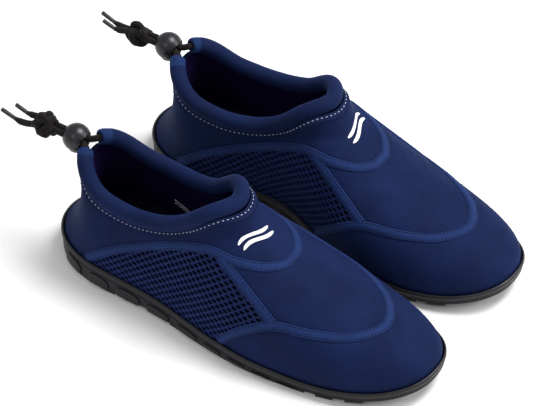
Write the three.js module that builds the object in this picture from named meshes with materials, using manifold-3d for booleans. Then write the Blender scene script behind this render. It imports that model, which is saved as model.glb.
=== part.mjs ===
// A pair of slip-on neoprene water shoes with a drawcord collar.
//
// Millimetres, +Z up, toes towards -Y, the wearer's left towards +X. The pair stands on Z = 0, centred on
// the origin. Each shoe is built as a right shoe in its own frame, and the left one is its mirror image.
// The upper is laid out on a "last", a smooth foot shape that stands on the outline of the outsole:
// every seam is a line on that surface, and every panel is ruled between two seams.
import * as THREE from "three";
import { mergeVertices } from "three/addons/utils/BufferGeometryUtils.js";
import Module from "manifold-3d";

const wasm = await Module();
wasm.setup();

// ---------- driving dimensions ----------

const LENGTH = 285; // outsole, heel to toe
const PATTERN_LENGTH = 285; // stations below are drawn at this length and grade with LENGTH
const PAIR_GAP = 8; // between the two shoes where they are widest

const HEEL_HALF_WIDTH = 39.5;
const WAIST_HALF_WIDTH = 35.5;
const BALL_HALF_WIDTH = 50;
const TOE_FULLNESS = 2.3; // exponent of the toe's rounded end
const WAIST_SWING = 8; // the waist lies this far towards the outer side
const TOE_SWING = 3; // the toe lies this far towards the inner side
const TOE_SPRING = 10; // the toe is lifted this far off the ground
const HEEL_TUCK = 0.42; // how strongly the heel's back is drawn in, half way up
const HEEL_TUCK_TOP = 0.8; // share of the ridge's height where the tuck ends

const RIM_WALL = 2; // thickness of the outsole's raised rim
const RIM_DEPTH = 6; // the upper stands this deep inside the rim
const RIM_BEAD = 0.7; // the bead's overhang at the rim
const TREAD_DEPTH = 2.2;
const TREAD_BAR = 12;
const TREAD_PITCH = 19;
const TREAD_MARGIN = 14; // from the heel or toe to the nearest bar

const NEOPRENE = 3; // sheet of the yoke, vamp and toe guard
const NET = 1.4; // open net of the side panels
const NET_LINING = 1.1;
const BINDING_WIDTH = 6;
const BINDING = 1;
const FACING_WIDTH = 6.5;
const BOARD = 1.5; // sewn-in bottom of the upper
const INSOLE = 3.5;

const COLLAR_RADIUS = 5.7;
const CHANNEL_SLACK = 0.95; // round the drawcord in the collar's channel
const COLLAR_MOUTH = 8; // from the heel's middle to each end of the collar, along its line
const COLLAR_RISE = 7; // the collar's front stands this far off the last
const HEEL_NOTCH = 1; // extra depth of the yoke's edge between the collar's ends

const CORD = 4.5; // diameter
const AGLET = 3; // diameter
const KNOT_RADIUS = 8.3;
const LOCK_BODY = 5; // from the cords' outer edges to the lock's surface
const LOCK_STATION = 9; // from the back of the heel
const LOCK_HEIGHT = 84.8;
const PLUNGER_CHEEK = 1.2; // of the plunger outside the middle of each cord's edge
const PLUNGER_TRAVEL = 2;
const SPRING_WIRE = 0.5;
const SPRING_RADIUS = 2.4; // to the middle of the wire
const SPRING_TURNS = 2.5;

const GAP = 0.4; // clearance between pieces that touch
const SLIDING_GAP = 0.3;
const EDGE_SHARE = 0.1; // of the sheet's thickness, from a seam's line to a panel's edge
const TAPE_GAP = 0.65; // under a tape, over the panels' flats

// Tables of [station from the back of the heel, value], drawn at PATTERN_LENGTH.
const RIM_HEIGHTS = [[0, 19], [45, 19], [110, 15.5], [200, 10], [255, 9.5], [285, 10.5]];
const RIDGE_HEIGHTS = [
  [0, 80], [22, 79], [45, 62.5], [62, 62.5], [80, 66.5], [100, 72], [118, 77],
  [134, 75.5], [150, 66.5], [184, 50], [220, 40.5], [255, 33], [285, 24],
];
const HEEL_STATION = 50;
const WAIST_STATION = 102;
const BALL_STATION = 184;
const RIDGE_FULLNESS = 2.3; // exponent of the last's cross section
const RIDGE_LEAN = 0.65; // share of the sole's swing that the ridge takes back

// Seams as [station, degrees up from the rim], at 90 on the ridge. Each runs up one side of the shoe.
const YOKE_SEAM = [
  [38, 0], [57, 25], [79, 44], [102, 57], [128, 64], [153, 66], [168, 72], [176, 82], [177, 90],
];
const TOE_SEAM = [
  [150, 0], [162, 17.5], [175, 30], [188, 38], [213, 44], [234, 54.5], [244, 72], [247, 90],
];
const COLLAR_LINE = [
  [134.5, 90], [133, 85.5], [128.5, 81.3], [116, 74.2], [99, 68.3], [81, 64.2], [67, 62.7],
  [45, 64.4], [34, 69.5], [26, 77], [21.5, 84], [20, 90],
];
const VAMP_SEAM_TOP = 138; // stations where the vamp's side seam meets the yoke and the toe guard
const VAMP_SEAM_FOOT = 188;

// ---------- small tools ----------

const GRADE = LENGTH / PATTERN_LENGTH;
const UPPER_INSET = RIM_WALL + GAP + 0.2;
const EDGE = NEOPRENE * EDGE_SHARE;
const PAIR_SPACING = 2 * BALL_HALF_WIDTH + PAIR_GAP; // centre line to centre line
const COLLAR_BORE = CORD / 2 + CHANNEL_SLACK;
const LOCK_RADIUS = CORD + LOCK_BODY;
const PLUNGER_RADIUS = CORD + PLUNGER_CHEEK;
const LATERAL = -1;
const MEDIAL = 1;

const clamp = THREE.MathUtils.clamp;
const lerp = THREE.MathUtils.lerp;
const smooth = (t) => THREE.MathUtils.smoothstep(t, 0, 1);
const place = (station, x, z) => new THREE.Vector3(x, LENGTH / 2 - station, z);
const stationOf = (point) => LENGTH / 2 - point.y;
const between = (a, b, t) => a.clone().lerp(b, t);

// A smooth curve through a table's rows.
function graded(rows) {
  const slopes = rows.map((row, i) => {
    const before = rows[Math.max(0, i - 1)];
    const after = rows[Math.min(rows.length - 1, i + 1)];
    return (after[1] - before[1]) / (after[0] - before[0]);
  });
  return (station) => {
    const s = clamp(station / GRADE, rows[0][0], rows[rows.length - 1][0]);
    const i = Math.max(0, rows.findLastIndex((row, k) => row[0] <= s && k < rows.length - 1));
    const span = rows[i + 1][0] - rows[i][0];
    const t = (s - rows[i][0]) / span;
    const rise = rows[i + 1][1] - rows[i][1];
    const bend = (1 - t) * (slopes[i] * span - rise) + t * (rise - slopes[i + 1] * span);
    return rows[i][1] + rise * t + t * (1 - t) * bend;
  };
}

// A closed body from points and triangles, turned so that its faces point out.
function closedMesh(name, points, faces, material) {
  let volume = 0;
  for (const [a, b, c] of faces) volume += points[a].dot(points[b].clone().cross(points[c]));
  const index = faces.flatMap(([a, b, c]) => (volume > 0 ? [a, b, c] : [a, c, b]));
  const geometry = new THREE.BufferGeometry();
  const positions = points.flatMap((point) => point.toArray());
  geometry.setAttribute("position", new THREE.Float32BufferAttribute(positions, 3));
  geometry.setIndex(index);
  geometry.computeVertexNormals();
  return named(name, geometry, material);
}

function named(name, geometry, material) {
  const mesh = new THREE.Mesh(geometry, material.clone());
  mesh.name = name;
  return mesh;
}

// A slab from columns of matching outer and inner points; closed joins the last column to the first.
function slab(name, columns, closed, material) {
  const rows = columns[0].outer.length;
  const points = columns.flatMap((column) => [...column.outer, ...column.inner]);
  const outer = (i, r) => (i % columns.length) * rows * 2 + r;
  const inner = (i, r) => outer(i, r) + rows;
  const faces = [];
  const quad = (a, b, c, d) => faces.push([a, b, c], [a, c, d]);
  const spans = closed ? columns.length : columns.length - 1;
  for (let i = 0; i < spans; i += 1) {
    for (let r = 0; r < rows - 1; r += 1) {
      quad(outer(i, r), outer(i + 1, r), outer(i + 1, r + 1), outer(i, r + 1));
      quad(inner(i, r), inner(i, r + 1), inner(i + 1, r + 1), inner(i + 1, r));
    }
    quad(outer(i, 0), inner(i, 0), inner(i + 1, 0), outer(i + 1, 0));
    quad(outer(i, rows - 1), outer(i + 1, rows - 1), inner(i + 1, rows - 1), inner(i, rows - 1));
  }
  if (!closed) {
    const last = columns.length - 1;
    for (let r = 0; r < rows - 1; r += 1) {
      quad(outer(0, r), outer(0, r + 1), inner(0, r + 1), inner(0, r));
      quad(outer(last, r), inner(last, r), inner(last, r + 1), outer(last, r + 1));
    }
  }
  return closedMesh(name, points, faces, material);
}

// A section swept along a line of points, with flat ends.
function swept(name, section, points, steps, material) {
  const path = new THREE.CatmullRomCurve3(points);
  const options = { steps, bevelEnabled: false, extrudePath: path };
  return named(name, new THREE.ExtrudeGeometry(section, options), material);
}

// The corners of a regular polygon.
function polygon(radius, sides) {
  const corners = [];
  for (let i = 0; i < sides; i += 1) {
    const angle = (i * 2 * Math.PI) / sides;
    corners.push(new THREE.Vector2(radius * Math.cos(angle), radius * Math.sin(angle)));
  }
  return corners;
}

function toManifold(geometry) {
  const bare = geometry.clone();
  bare.deleteAttribute("normal");
  bare.deleteAttribute("uv");
  const merged = mergeVertices(bare, 1e-4);
  const vertProperties = new Float32Array(merged.attributes.position.array);
  const triVerts = new Uint32Array(merged.index.array);
  return new wasm.Manifold(new wasm.Mesh({ numProp: 3, vertProperties, triVerts }));
}

function fromManifold(manifold) {
  const mesh = manifold.getMesh();
  const geometry = new THREE.BufferGeometry();
  geometry.setAttribute("position", new THREE.Float32BufferAttribute(mesh.vertProperties, 3));
  geometry.setIndex(new THREE.Uint32BufferAttribute(mesh.triVerts, 1));
  geometry.computeVertexNormals();
  return geometry;
}

// ---------- materials ----------

const paint = (color, roughness) => new THREE.MeshStandardMaterial({ color, roughness, metalness: 0 });
const rubber = paint(0x1c191b, 0.55);
const neoprene = paint(0x1a2b5c, 0.75);
const bindingTape = paint(0x2a4a8a, 0.7);
const netting = paint(0x1c2f66, 0.8);
const lining = paint(0x0c0a24, 0.9);
const boardFelt = paint(0x2b2a30, 0.95);
const foam = paint(0x15142c, 0.9);
const cordBraid = paint(0x131113, 0.7);
const blackPlastic = paint(0x16141a, 0.3);
const springSteel = new THREE.MeshStandardMaterial({ color: 0x9a9aa0, roughness: 0.35, metalness: 1 });

// ---------- the sole's outline and the last ----------

const heelStation = HEEL_STATION * GRADE;
const waistStation = WAIST_STATION * GRADE;
const ballStation = BALL_STATION * GRADE;
const rimHeight = graded(RIM_HEIGHTS);
const ridgeHeight = graded(RIDGE_HEIGHTS);

function toeSpring(station) {
  return TOE_SPRING * clamp((station / LENGTH - 0.75) / 0.25, 0, 1) ** 2;
}

const rim = (station) => rimHeight(station) + toeSpring(station);
const floor = (station) => rim(station) - RIM_DEPTH;

// The middle of the sole: it swings outwards at the waist and inwards at the toe.
function centre(station) {
  const share = station / LENGTH;
  const waist = Math.exp(-(((share - 0.42) / 0.16) ** 2));
  return TOE_SWING * smooth((share - 0.5) / 0.5) - WAIST_SWING * waist;
}

function sideWidth(station) {
  const toWaist = smooth((station - heelStation) / (waistStation - heelStation));
  const toBall = smooth((station - waistStation) / (ballStation - waistStation));
  const rear = lerp(HEEL_HALF_WIDTH, WAIST_HALF_WIDTH, toWaist);
  return lerp(rear, BALL_HALF_WIDTH, toBall);
}

// Half the sole's width, inset all round by a margin.
function halfWidth(station, inset) {
  if (station < heelStation) {
    const share = (heelStation - station) / (heelStation - inset);
    return (HEEL_HALF_WIDTH - inset) * Math.sqrt(Math.max(0, 1 - share ** 2));
  }
  if (station > ballStation) {
    const share = (station - ballStation) / (LENGTH - inset - ballStation);
    return (BALL_HALF_WIDTH - inset) * Math.max(0, 1 - share ** TOE_FULLNESS) ** (1 / TOE_FULLNESS);
  }
  return sideWidth(station) - inset;
}

// Below zero inside the last and above zero outside it.
function lastField(point) {
  const station = stationOf(point);
  const height = Math.max(0, point.z - rim(station)) / ridgeHeight(station);
  const lean = 1 - RIDGE_LEAN * Math.min(1, height);
  const across = Math.abs(point.x - centre(station) * lean);
  let radius = across / (sideWidth(station) - UPPER_INSET);
  if (station < heelStation) {
    const tuck = 1 + HEEL_TUCK * Math.sin(Math.PI * Math.min(1, height / HEEL_TUCK_TOP));
    const along = (tuck * (heelStation - station)) / (heelStation - UPPER_INSET);
    radius = Math.hypot(across / (HEEL_HALF_WIDTH - UPPER_INSET), along);
  }
  if (station > ballStation) {
    const along = (station - ballStation) / (LENGTH - UPPER_INSET - ballStation);
    const sideways = across / (BALL_HALF_WIDTH - UPPER_INSET);
    radius = (sideways ** TOE_FULLNESS + along ** TOE_FULLNESS) ** (1 / TOE_FULLNESS);
  }
  return radius ** RIDGE_FULLNESS + height ** RIDGE_FULLNESS - 1;
}

const spine = (station) => place(station, centre(station) * (1 - RIDGE_LEAN), rim(station));

function surfaceAlong(origin, direction) {
  let near = 0;
  let far = LENGTH;
  for (let i = 0; i < 44; i += 1) {
    const middle = (near + far) / 2;
    if (lastField(origin.clone().addScaledVector(direction, middle)) < 0) near = middle;
    else far = middle;
  }
  return origin.clone().addScaledVector(direction, near);
}

// The point of the last in line with any nearby point.
function onLast(point) {
  const origin = spine(clamp(stationOf(point), heelStation, ballStation));
  return surfaceAlong(origin, point.clone().sub(origin).normalize());
}

// The point of the last at a station and an angle up from the rim, on one side.
function onSection(station, degrees, side) {
  const angle = THREE.MathUtils.degToRad(degrees);
  const direction = new THREE.Vector3(side * Math.cos(angle), 0, Math.sin(angle));
  return surfaceAlong(spine(station), direction);
}

function normalAt(point) {
  const step = 0.05;
  const slope = (axis) => {
    const offset = new THREE.Vector3().setComponent(axis, step);
    return lastField(point.clone().add(offset)) - lastField(point.clone().sub(offset));
  };
  return new THREE.Vector3(slope(0), slope(1), slope(2)).normalize();
}

// Where the upper's foot stands inside the rim.
function foot(station, side) {
  const x = centre(station) + side * halfWidth(station, UPPER_INSET);
  return place(station, x, floor(station) + GAP);
}

// ---------- seams ----------

const YOKE_REAR_STEPS = Math.ceil((BALL_HALF_WIDTH - WAIST_HALF_WIDTH) / 2.1); // more on a curvier sole
const YOKE_FRONT_STEPS = 6;
const HEEL_STEPS = 4;
const SIDE_SEAM_STEPS = 4;

// A seam's curve in the plane of station and degrees.
function seamCurve(rows) {
  return new THREE.CatmullRomCurve3(rows.map(([s, degrees]) => new THREE.Vector3(s * GRADE, degrees, 0)));
}

function shareAtStation(curve, station) {
  let low = 0;
  let high = 1;
  for (let i = 0; i < 40; i += 1) {
    const middle = (low + high) / 2;
    if (curve.getPoint(middle).x < station) low = middle;
    else high = middle;
  }
  return low;
}

function seamPoints(curve, side, from, to, steps) {
  const points = [];
  for (let i = 0; i <= steps; i += 1) {
    const at = curve.getPoint(lerp(from, to, i / steps));
    points.push(onSection(at.x, at.y, side));
  }
  return points;
}

// Every seam of one side, from the rim upwards, with the corners where seams meet shared.
function sideSeams(side) {
  const yokeCurve = seamCurve(YOKE_SEAM);
  const toeCurve = seamCurve(TOE_SEAM);
  const yokeSplit = shareAtStation(yokeCurve, VAMP_SEAM_TOP * GRADE);
  const toeSplit = shareAtStation(toeCurve, VAMP_SEAM_FOOT * GRADE);
  const yokeRear = seamPoints(yokeCurve, side, 0, yokeSplit, YOKE_REAR_STEPS);
  const yokeFront = seamPoints(yokeCurve, side, yokeSplit, 1, YOKE_FRONT_STEPS);
  const toeRear = seamPoints(toeCurve, side, 0, toeSplit, SIDE_SEAM_STEPS);
  const toeFront = seamPoints(toeCurve, side, toeSplit, 1, YOKE_FRONT_STEPS);
  yokeRear[0] = foot(YOKE_SEAM[0][0] * GRADE, side);
  toeRear[0] = foot(TOE_SEAM[0][0] * GRADE, side);
  const vamp = [];
  for (let i = 0; i <= SIDE_SEAM_STEPS; i += 1) {
    vamp.push(onLast(between(yokeFront[0], toeFront[0], i / SIDE_SEAM_STEPS)));
  }
  return { yokeRear, yokeFront, toeRear, toeFront, vamp };
}

const seams = { [LATERAL]: sideSeams(LATERAL), [MEDIAL]: sideSeams(MEDIAL) };

// ---------- panels of the upper ----------

// The unit vector across a line of points at one of them, in the last's surface.
function acrossLine(line, i) {
  const before = line[Math.max(0, i - 1)];
  const after = line[Math.min(line.length - 1, i + 1)];
  return normalAt(line[i]).cross(after.clone().sub(before)).normalize();
}

// A line moved off its seam by the panels' edge clearance, towards the matching points.
function offSeam(line, towards) {
  return line.map((point, i) => {
    const across = acrossLine(line, i);
    const turn = Math.sign(across.dot(towards[i].clone().sub(point)));
    return onLast(point.clone().addScaledVector(across, turn * EDGE));
  });
}

// Columns ruled on the last from lower to upper points, between two depths under its surface.
function ruledColumns(lower, upper, rows, depth, thickness) {
  const starts = offSeam(lower, upper);
  const ends = offSeam(upper, lower);
  return starts.map((start, i) => {
    const outer = [];
    const inner = [];
    for (let r = 0; r <= rows; r += 1) {
      const point = onLast(between(start, ends[i], r / rows));
      const normal = normalAt(point);
      outer.push(point.clone().addScaledVector(normal, -depth));
      inner.push(point.clone().addScaledVector(normal, -depth - thickness));
    }
    return { outer, inner };
  });
}

// The first and last columns step back from a seam by the panels' clearance.
function stepBackEnds(points) {
  const last = points.length - 1;
  const shift = (from, to) => onLast(between(from, to, EDGE / from.distanceTo(to)));
  return [shift(points[0], points[1]), ...points.slice(1, last), shift(points[last], points[last - 1])];
}

const BLUNT = 0.6; // share of the last span that a pointed panel keeps

function sidePanelEdges(side) {
  const { yokeRear, toeRear, vamp } = seams[side];
  const lower = [];
  const upper = [];
  for (let i = 1; i <= YOKE_REAR_STEPS; i += 1) {
    const station = lerp(YOKE_SEAM[0][0], TOE_SEAM[0][0], i / YOKE_REAR_STEPS) * GRADE;
    lower.push(foot(station, side));
    upper.push(yokeRear[i]);
  }
  for (let i = 1; i < SIDE_SEAM_STEPS; i += 1) {
    lower.push(toeRear[i]);
    upper.push(vamp[i]);
  }
  const tip = SIDE_SEAM_STEPS;
  lower.push(onLast(between(toeRear[tip - 1], toeRear[tip], BLUNT)));
  upper.push(onLast(between(vamp[tip - 1], vamp[tip], BLUNT)));
  lower.unshift(foot(lerp(YOKE_SEAM[0][0], TOE_SEAM[0][0], 0.3 / YOKE_REAR_STEPS) * GRADE, side));
  upper.unshift(onLast(between(yokeRear[0], yokeRear[1], 0.3)));
  return { lower, upper };
}

function netPanel(name, side) {
  const { lower, upper } = sidePanelEdges(side);
  return slab(name, ruledColumns(lower, upper, 4, 0, NET), false, netting);
}

function netLining(name, side) {
  const { lower, upper } = sidePanelEdges(side);
  const depth = NEOPRENE - NET_LINING;
  return slab(name, ruledColumns(lower, upper, 4, depth, NET_LINING), false, lining);
}

function vampPanel(name) {
  const across = (part) => [...seams[LATERAL][part], ...seams[MEDIAL][part].slice(0, -1).reverse()];
  const lower = stepBackEnds(across("toeFront"));
  const upper = stepBackEnds(across("yokeFront"));
  return slab(name, ruledColumns(lower, upper, SIDE_SEAM_STEPS, 0, NEOPRENE), false, neoprene);
}

function toeGuardPanel(name) {
  const side = (which) => {
    const { toeRear, toeFront } = seams[which];
    const seam = [...toeRear.slice(0, -1), ...toeFront];
    seam[0] = onLast(between(toeRear[0], toeRear[1], 1 - BLUNT));
    const start = TOE_SEAM[0][0] * GRADE;
    const feet = seam.map((point, i) => {
      const turn = (i + 0.5) / (seam.length - 0.5);
      const station = lerp(start, LENGTH - UPPER_INSET, Math.sin((turn * Math.PI) / 2));
      return foot(station, which);
    });
    return { seam, feet };
  };
  const outside = side(LATERAL);
  const inside = side(MEDIAL);
  const upper = [...outside.seam, ...inside.seam.slice(0, -1).reverse()];
  const lower = [...outside.feet, ...inside.feet.slice(0, -1).reverse()];
  return slab(name, ruledColumns(lower, upper, 3, 0, NEOPRENE), false, neoprene);
}

// ---------- yoke, collar and drawcord ----------

// The collar's line as a closed loop: from the front along the outer side, round the heel and back.
function collarLoop() {
  const half = (side) => COLLAR_LINE.map(([s, degrees]) => onSection(s * GRADE, degrees, side));
  const inside = half(MEDIAL).slice(1, -1).reverse();
  return new THREE.CatmullRomCurve3([...half(LATERAL), ...inside], true);
}

const collarCurve = collarLoop();
const collarLength = collarCurve.getLength();

// A point of the collar's line with its directions: out of the last, and down the yoke.
function collarAt(share) {
  const point = onLast(collarCurve.getPointAt(share));
  const out = normalAt(point);
  const down = out.clone().cross(collarCurve.getTangentAt(share)).normalize();
  const rise = COLLAR_RISE * smooth((stationOf(point) / GRADE - 105) / 30);
  return { point, out, down, rise };
}

function collarPath(steps) {
  const mouth = COLLAR_MOUTH / collarLength;
  const points = [];
  for (let i = 0; i <= steps; i += 1) {
    const share = lerp(0.5 + mouth, 1.5 - mouth, i / steps) % 1;
    const { point, out, rise } = collarAt(share);
    points.push(point.clone().addScaledVector(out, rise));
  }
  return points;
}

const COLLAR_STEPS = 28;
const collarPoints = collarPath(COLLAR_STEPS);

// The yoke's lower edge: the seam on the outer side, the foot round the heel, the seam on the inner side.
function yokeLowerLoop() {
  const half = (side) => {
    const { yokeRear, yokeFront } = seams[side];
    const points = [...[...yokeFront].reverse(), ...yokeRear.slice(0, -1).reverse()];
    const reach = heelStation - UPPER_INSET;
    const start = Math.asin((heelStation - YOKE_SEAM[0][0] * GRADE) / reach);
    for (let i = 1; i <= HEEL_STEPS; i += 1) {
      const turn = lerp(start, Math.PI / 2, i / HEEL_STEPS);
      points.push(foot(heelStation - reach * Math.sin(turn), side));
    }
    return points;
  };
  return { outside: half(LATERAL), inside: half(MEDIAL) };
}

// For each column of the yoke: its foot, its top edge, and how far the top stands off the last.
function yokeColumns() {
  const loop = yokeLowerLoop();
  const half = (points, side) => {
    const lengths = [0];
    for (let i = 1; i < points.length; i += 1) {
      lengths.push(lengths[i - 1] + points[i].distanceTo(points[i - 1]));
    }
    return points.map((lower, i) => {
      const share = lengths[i] / lengths[points.length - 1] / 2;
      const { point, down, rise } = collarAt(side === LATERAL ? share : (1 - share) % 1);
      const mouth = COLLAR_MOUTH / collarLength;
      const notch = HEEL_NOTCH * smooth(1 - (0.5 - share) / (mouth * 1.6));
      const drop = COLLAR_RADIUS + TAPE_GAP + notch;
      return { lower, upper: onLast(point.clone().addScaledVector(down, drop)), rise };
    });
  };
  const outside = half(loop.outside, LATERAL);
  const inside = half(loop.inside, MEDIAL);
  const columns = [...outside, ...inside.slice(1, -1).reverse()];
  const feet = offSeam(columns.map((column) => column.lower), columns.map((column) => column.upper));
  return columns.map((column, i) => ({ ...column, lower: feet[i] }));
}

// A point of the yoke's outer face; the top part leaves the last to meet the collar.
function yokeFace({ lower, upper, rise }, share) {
  const point = onLast(between(lower, upper, share));
  const out = normalAt(point);
  const lift = rise * smooth((share - 0.55) / 0.45);
  return { point: point.addScaledVector(out, lift), out };
}

const RIM_ROW = 0.12; // share of the yoke's height where it leaves the rim at the heel

const facingShare = ({ lower, upper }) => 1 - FACING_WIDTH / lower.distanceTo(upper);

function yokePanel(name, columns) {
  const slabColumns = columns.map((column) => {
    const fold = facingShare(column);
    const outer = [];
    const inner = [];
    for (const share of [0, fold * RIM_ROW, fold * 0.35, fold * 0.7, fold, 1]) {
      const { point, out } = yokeFace(column, share);
      outer.push(point);
      inner.push(point.clone().addScaledVector(out, -NEOPRENE));
    }
    return { outer, inner };
  });
  return slab(name, slabColumns, true, neoprene);
}

function facingStrip(name, columns) {
  const slabColumns = columns.map((column) => {
    const outer = [];
    const inner = [];
    for (const share of [facingShare(column), 1]) {
      const { point, out } = yokeFace(column, share);
      inner.push(point.clone().addScaledVector(out, GAP));
      outer.push(point.clone().addScaledVector(out, GAP + BINDING));
    }
    return { outer, inner };
  });
  return slab(name, slabColumns, true, neoprene);
}

function collarTube(name) {
  const section = new THREE.Shape(polygon(COLLAR_RADIUS, 8));
  section.holes.push(new THREE.Path(polygon(COLLAR_BORE, 6)));
  return swept(name, section, collarPoints, COLLAR_STEPS, neoprene);
}

function cordPiece(name, points, steps) {
  return swept(name, new THREE.Shape(polygon(CORD / 2, 8)), points, steps, cordBraid);
}

// ---------- bindings over the seams ----------

// A strip of tape that lies on the last along a line of points.
function binding(name, line) {
  const columns = line.map((point, i) => {
    const out = normalAt(point);
    const sideways = acrossLine(line, i);
    const corner = (across, up) =>
      point.clone().addScaledVector(sideways, across).addScaledVector(out, up);
    const half = BINDING_WIDTH / 2;
    return {
      outer: [corner(-half, TAPE_GAP + BINDING), corner(half, TAPE_GAP + BINDING)],
      inner: [corner(-half, TAPE_GAP), corner(half, TAPE_GAP)],
    };
  });
  return slab(name, columns, false, bindingTape);
}

// A seam's points, starting where the tape's corner clears the rim.
function bindingHalf(seam) {
  const [first, second] = seam;
  const clear = rim(stationOf(first)) + BINDING_WIDTH / 2 + GAP - first.z;
  return [onLast(between(first, second, clear / (second.z - first.z))), ...seam.slice(1)];
}

function crossingBinding(name, rear, front) {
  const half = (side) => bindingHalf([...seams[side][rear].slice(0, -1), ...seams[side][front]]);
  return binding(name, [...half(LATERAL), ...half(MEDIAL).slice(0, -1).reverse()]);
}

// How far a tape that ends on another one stops short of the crossing of their middle lines.
function buttMargin(corner, alongThis, alongOther) {
  const angle = alongThis.clone().sub(corner).angleTo(alongOther.clone().sub(corner));
  const acute = Math.min(angle, Math.PI - angle);
  const half = BINDING_WIDTH / 2;
  return (half + 2 * GAP) / Math.sin(acute) + half / Math.tan(acute);
}

function sideBinding(name, side) {
  const { vamp, yokeFront, toeFront } = seams[side];
  const line = new THREE.CatmullRomCurve3(vamp);
  const length = line.getLength();
  const tail = vamp.length - 1;
  const top = buttMargin(vamp[0], vamp[1], yokeFront[1]) / length;
  const foot = buttMargin(vamp[tail], vamp[tail - 1], toeFront[1]) / length;
  const points = [];
  for (let i = 0; i <= SIDE_SEAM_STEPS; i += 1) {
    points.push(onLast(line.getPointAt(lerp(top, 1 - foot, i / SIDE_SEAM_STEPS))));
  }
  return binding(name, points);
}

// ---------- sole ----------

const RING_HALF = Math.ceil(BALL_HALF_WIDTH * 0.46); // facets stay as long on a wider sole

// A closed ring on the inset outline: heel, outer side, toe, inner side.
function ring(inset, height) {
  const at = (i, side) => {
    const share = (1 - Math.cos((Math.PI * i) / RING_HALF)) / 2;
    const station = lerp(inset, LENGTH - inset, share);
    return place(station, centre(station) + side * halfWidth(station, inset), height(station));
  };
  const points = [];
  for (let i = 0; i <= RING_HALF; i += 1) points.push(at(i, LATERAL));
  for (let i = RING_HALF - 1; i > 0; i -= 1) points.push(at(i, MEDIAL));
  return points;
}

// A closed body through a stack of rings, whose ends are flat across the shoe.
function ringBody(name, rings, material) {
  const count = rings[0].length;
  const faces = [];
  const at = (k, i) => k * count + (i % count);
  for (let k = 0; k < rings.length - 1; k += 1) {
    for (let i = 0; i < count; i += 1) {
      faces.push([at(k, i), at(k, i + 1), at(k + 1, i + 1)], [at(k, i), at(k + 1, i + 1), at(k + 1, i)]);
    }
  }
  const cap = (k, turned) => {
    for (let i = 0; i < RING_HALF; i += 1) {
      const quad = [at(k, i), at(k, i + 1), at(k, count - i - 1), at(k, count - i)];
      if (turned) quad.reverse();
      const [a, b, c, d] = quad;
      if (i < RING_HALF - 1) faces.push([a, c, b]);
      if (i > 0) faces.push([a, d, c]);
    }
  };
  cap(0, false);
  cap(rings.length - 1, true);
  return closedMesh(name, rings.flat(), faces, material);
}

function treadBar(station) {
  const corners = [];
  for (const s of [station, station + TREAD_BAR]) {
    for (const side of [LATERAL, MEDIAL]) {
      const x = centre(s) + side * halfWidth(s, RIM_BEAD + 0.5);
      corners.push(place(s, x, toeSpring(s)), place(s, x, toeSpring(s) + TREAD_DEPTH + 1));
    }
  }
  const faces = [
    [0, 2, 3], [0, 3, 1], [4, 5, 7], [4, 7, 6], [0, 1, 5], [0, 5, 4],
    [2, 6, 7], [2, 7, 3], [1, 3, 7], [1, 7, 5], [0, 4, 6], [0, 6, 2],
  ];
  return closedMesh("bar", corners, faces, rubber).geometry;
}

function outsole(name) {
  const ground = (rise) => (station) => toeSpring(station) + rise;
  const underRim = (drop) => (station) => rim(station) - drop;
  const body = ringBody(name, [
    ring(3, ground(TREAD_DEPTH)),
    ring(RIM_BEAD, ground(TREAD_DEPTH + 1.5)),
    ring(RIM_BEAD, underRim(4)),
    ring(0, underRim(3.2)),
    ring(0, underRim(1)),
    ring(0.7, underRim(0)),
    ring(RIM_WALL, underRim(0)),
    ring(RIM_WALL, underRim(RIM_DEPTH)),
  ], rubber);
  let solid = toManifold(body.geometry);
  const bars = Math.floor((LENGTH - 2 * TREAD_MARGIN - TREAD_BAR) / TREAD_PITCH) + 1;
  for (let i = 0; i < bars; i += 1) {
    solid = solid.add(toManifold(treadBar(TREAD_MARGIN + i * TREAD_PITCH)));
  }
  return named(name, fromManifold(solid), rubber);
}

function soleLayer(name, inset, bottom, thickness, material) {
  const level = (rise) => (station) => floor(station) + rise;
  const rings = [ring(inset, level(bottom)), ring(inset, level(bottom + thickness))];
  return ringBody(name, rings, material);
}

// ---------- cord lock ----------

// The lock is drawn about its own middle with its plunger along X and the cords along Y, one over the
// other. It is then turned a quarter about Y, so that the button points down and the cords lie abreast.
const CORD_PITCH = CORD + 0.2;
const BORE_RADIUS = PLUNGER_RADIUS + SLIDING_GAP;
const WINDOW_FLOOR = -CORD / 2 - SLIDING_GAP; // the cords pass over this edge of the plunger's window
const PLUNGER_BAR = 1.45; // thickness of the plunger under its window
const PLUNGER_FOOT = WINDOW_FLOOR - PLUNGER_BAR;
const BORE_FLOOR = PLUNGER_FOOT - PLUNGER_TRAVEL - SLIDING_GAP;
const POCKET_DEPTH = 1.7; // of the spring's seat, under the bore
const POCKET_FLOOR = BORE_FLOOR - POCKET_DEPTH;
const POCKET_RADIUS = SPRING_RADIUS + SPRING_WIRE / 2 + SLIDING_GAP;
const BUTTON_TOP = LOCK_RADIUS - 0.4;
const LOCK_FLARE = 4.5; // the mouth on the shoe's side is this much wider
const FLARE_FLOOR = 5.9; // from the lock's middle to the narrow part of that mouth

function slotSection(width, height) {
  const shape = new THREE.Shape();
  const r = width / 2;
  const straight = height / 2 - r;
  shape.absarc(0, straight, r, 0, Math.PI, false);
  shape.absarc(0, -straight, r, Math.PI, 2 * Math.PI, false);
  return shape;
}

// A slot through the lock along Y, between two depths.
function slotAlongY(width, height, from, to) {
  const options = { depth: to - from, bevelEnabled: false, curveSegments: 4 };
  const geometry = new THREE.ExtrudeGeometry(slotSection(width, height), options);
  geometry.translate(0, 0, from);
  return geometry.rotateX(-Math.PI / 2);
}

function cylinderAlongX(radius, from, to, sides) {
  const geometry = new THREE.CylinderGeometry(radius, radius, to - from, sides);
  return geometry.rotateZ(-Math.PI / 2).translate((from + to) / 2, 0, 0);
}

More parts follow.
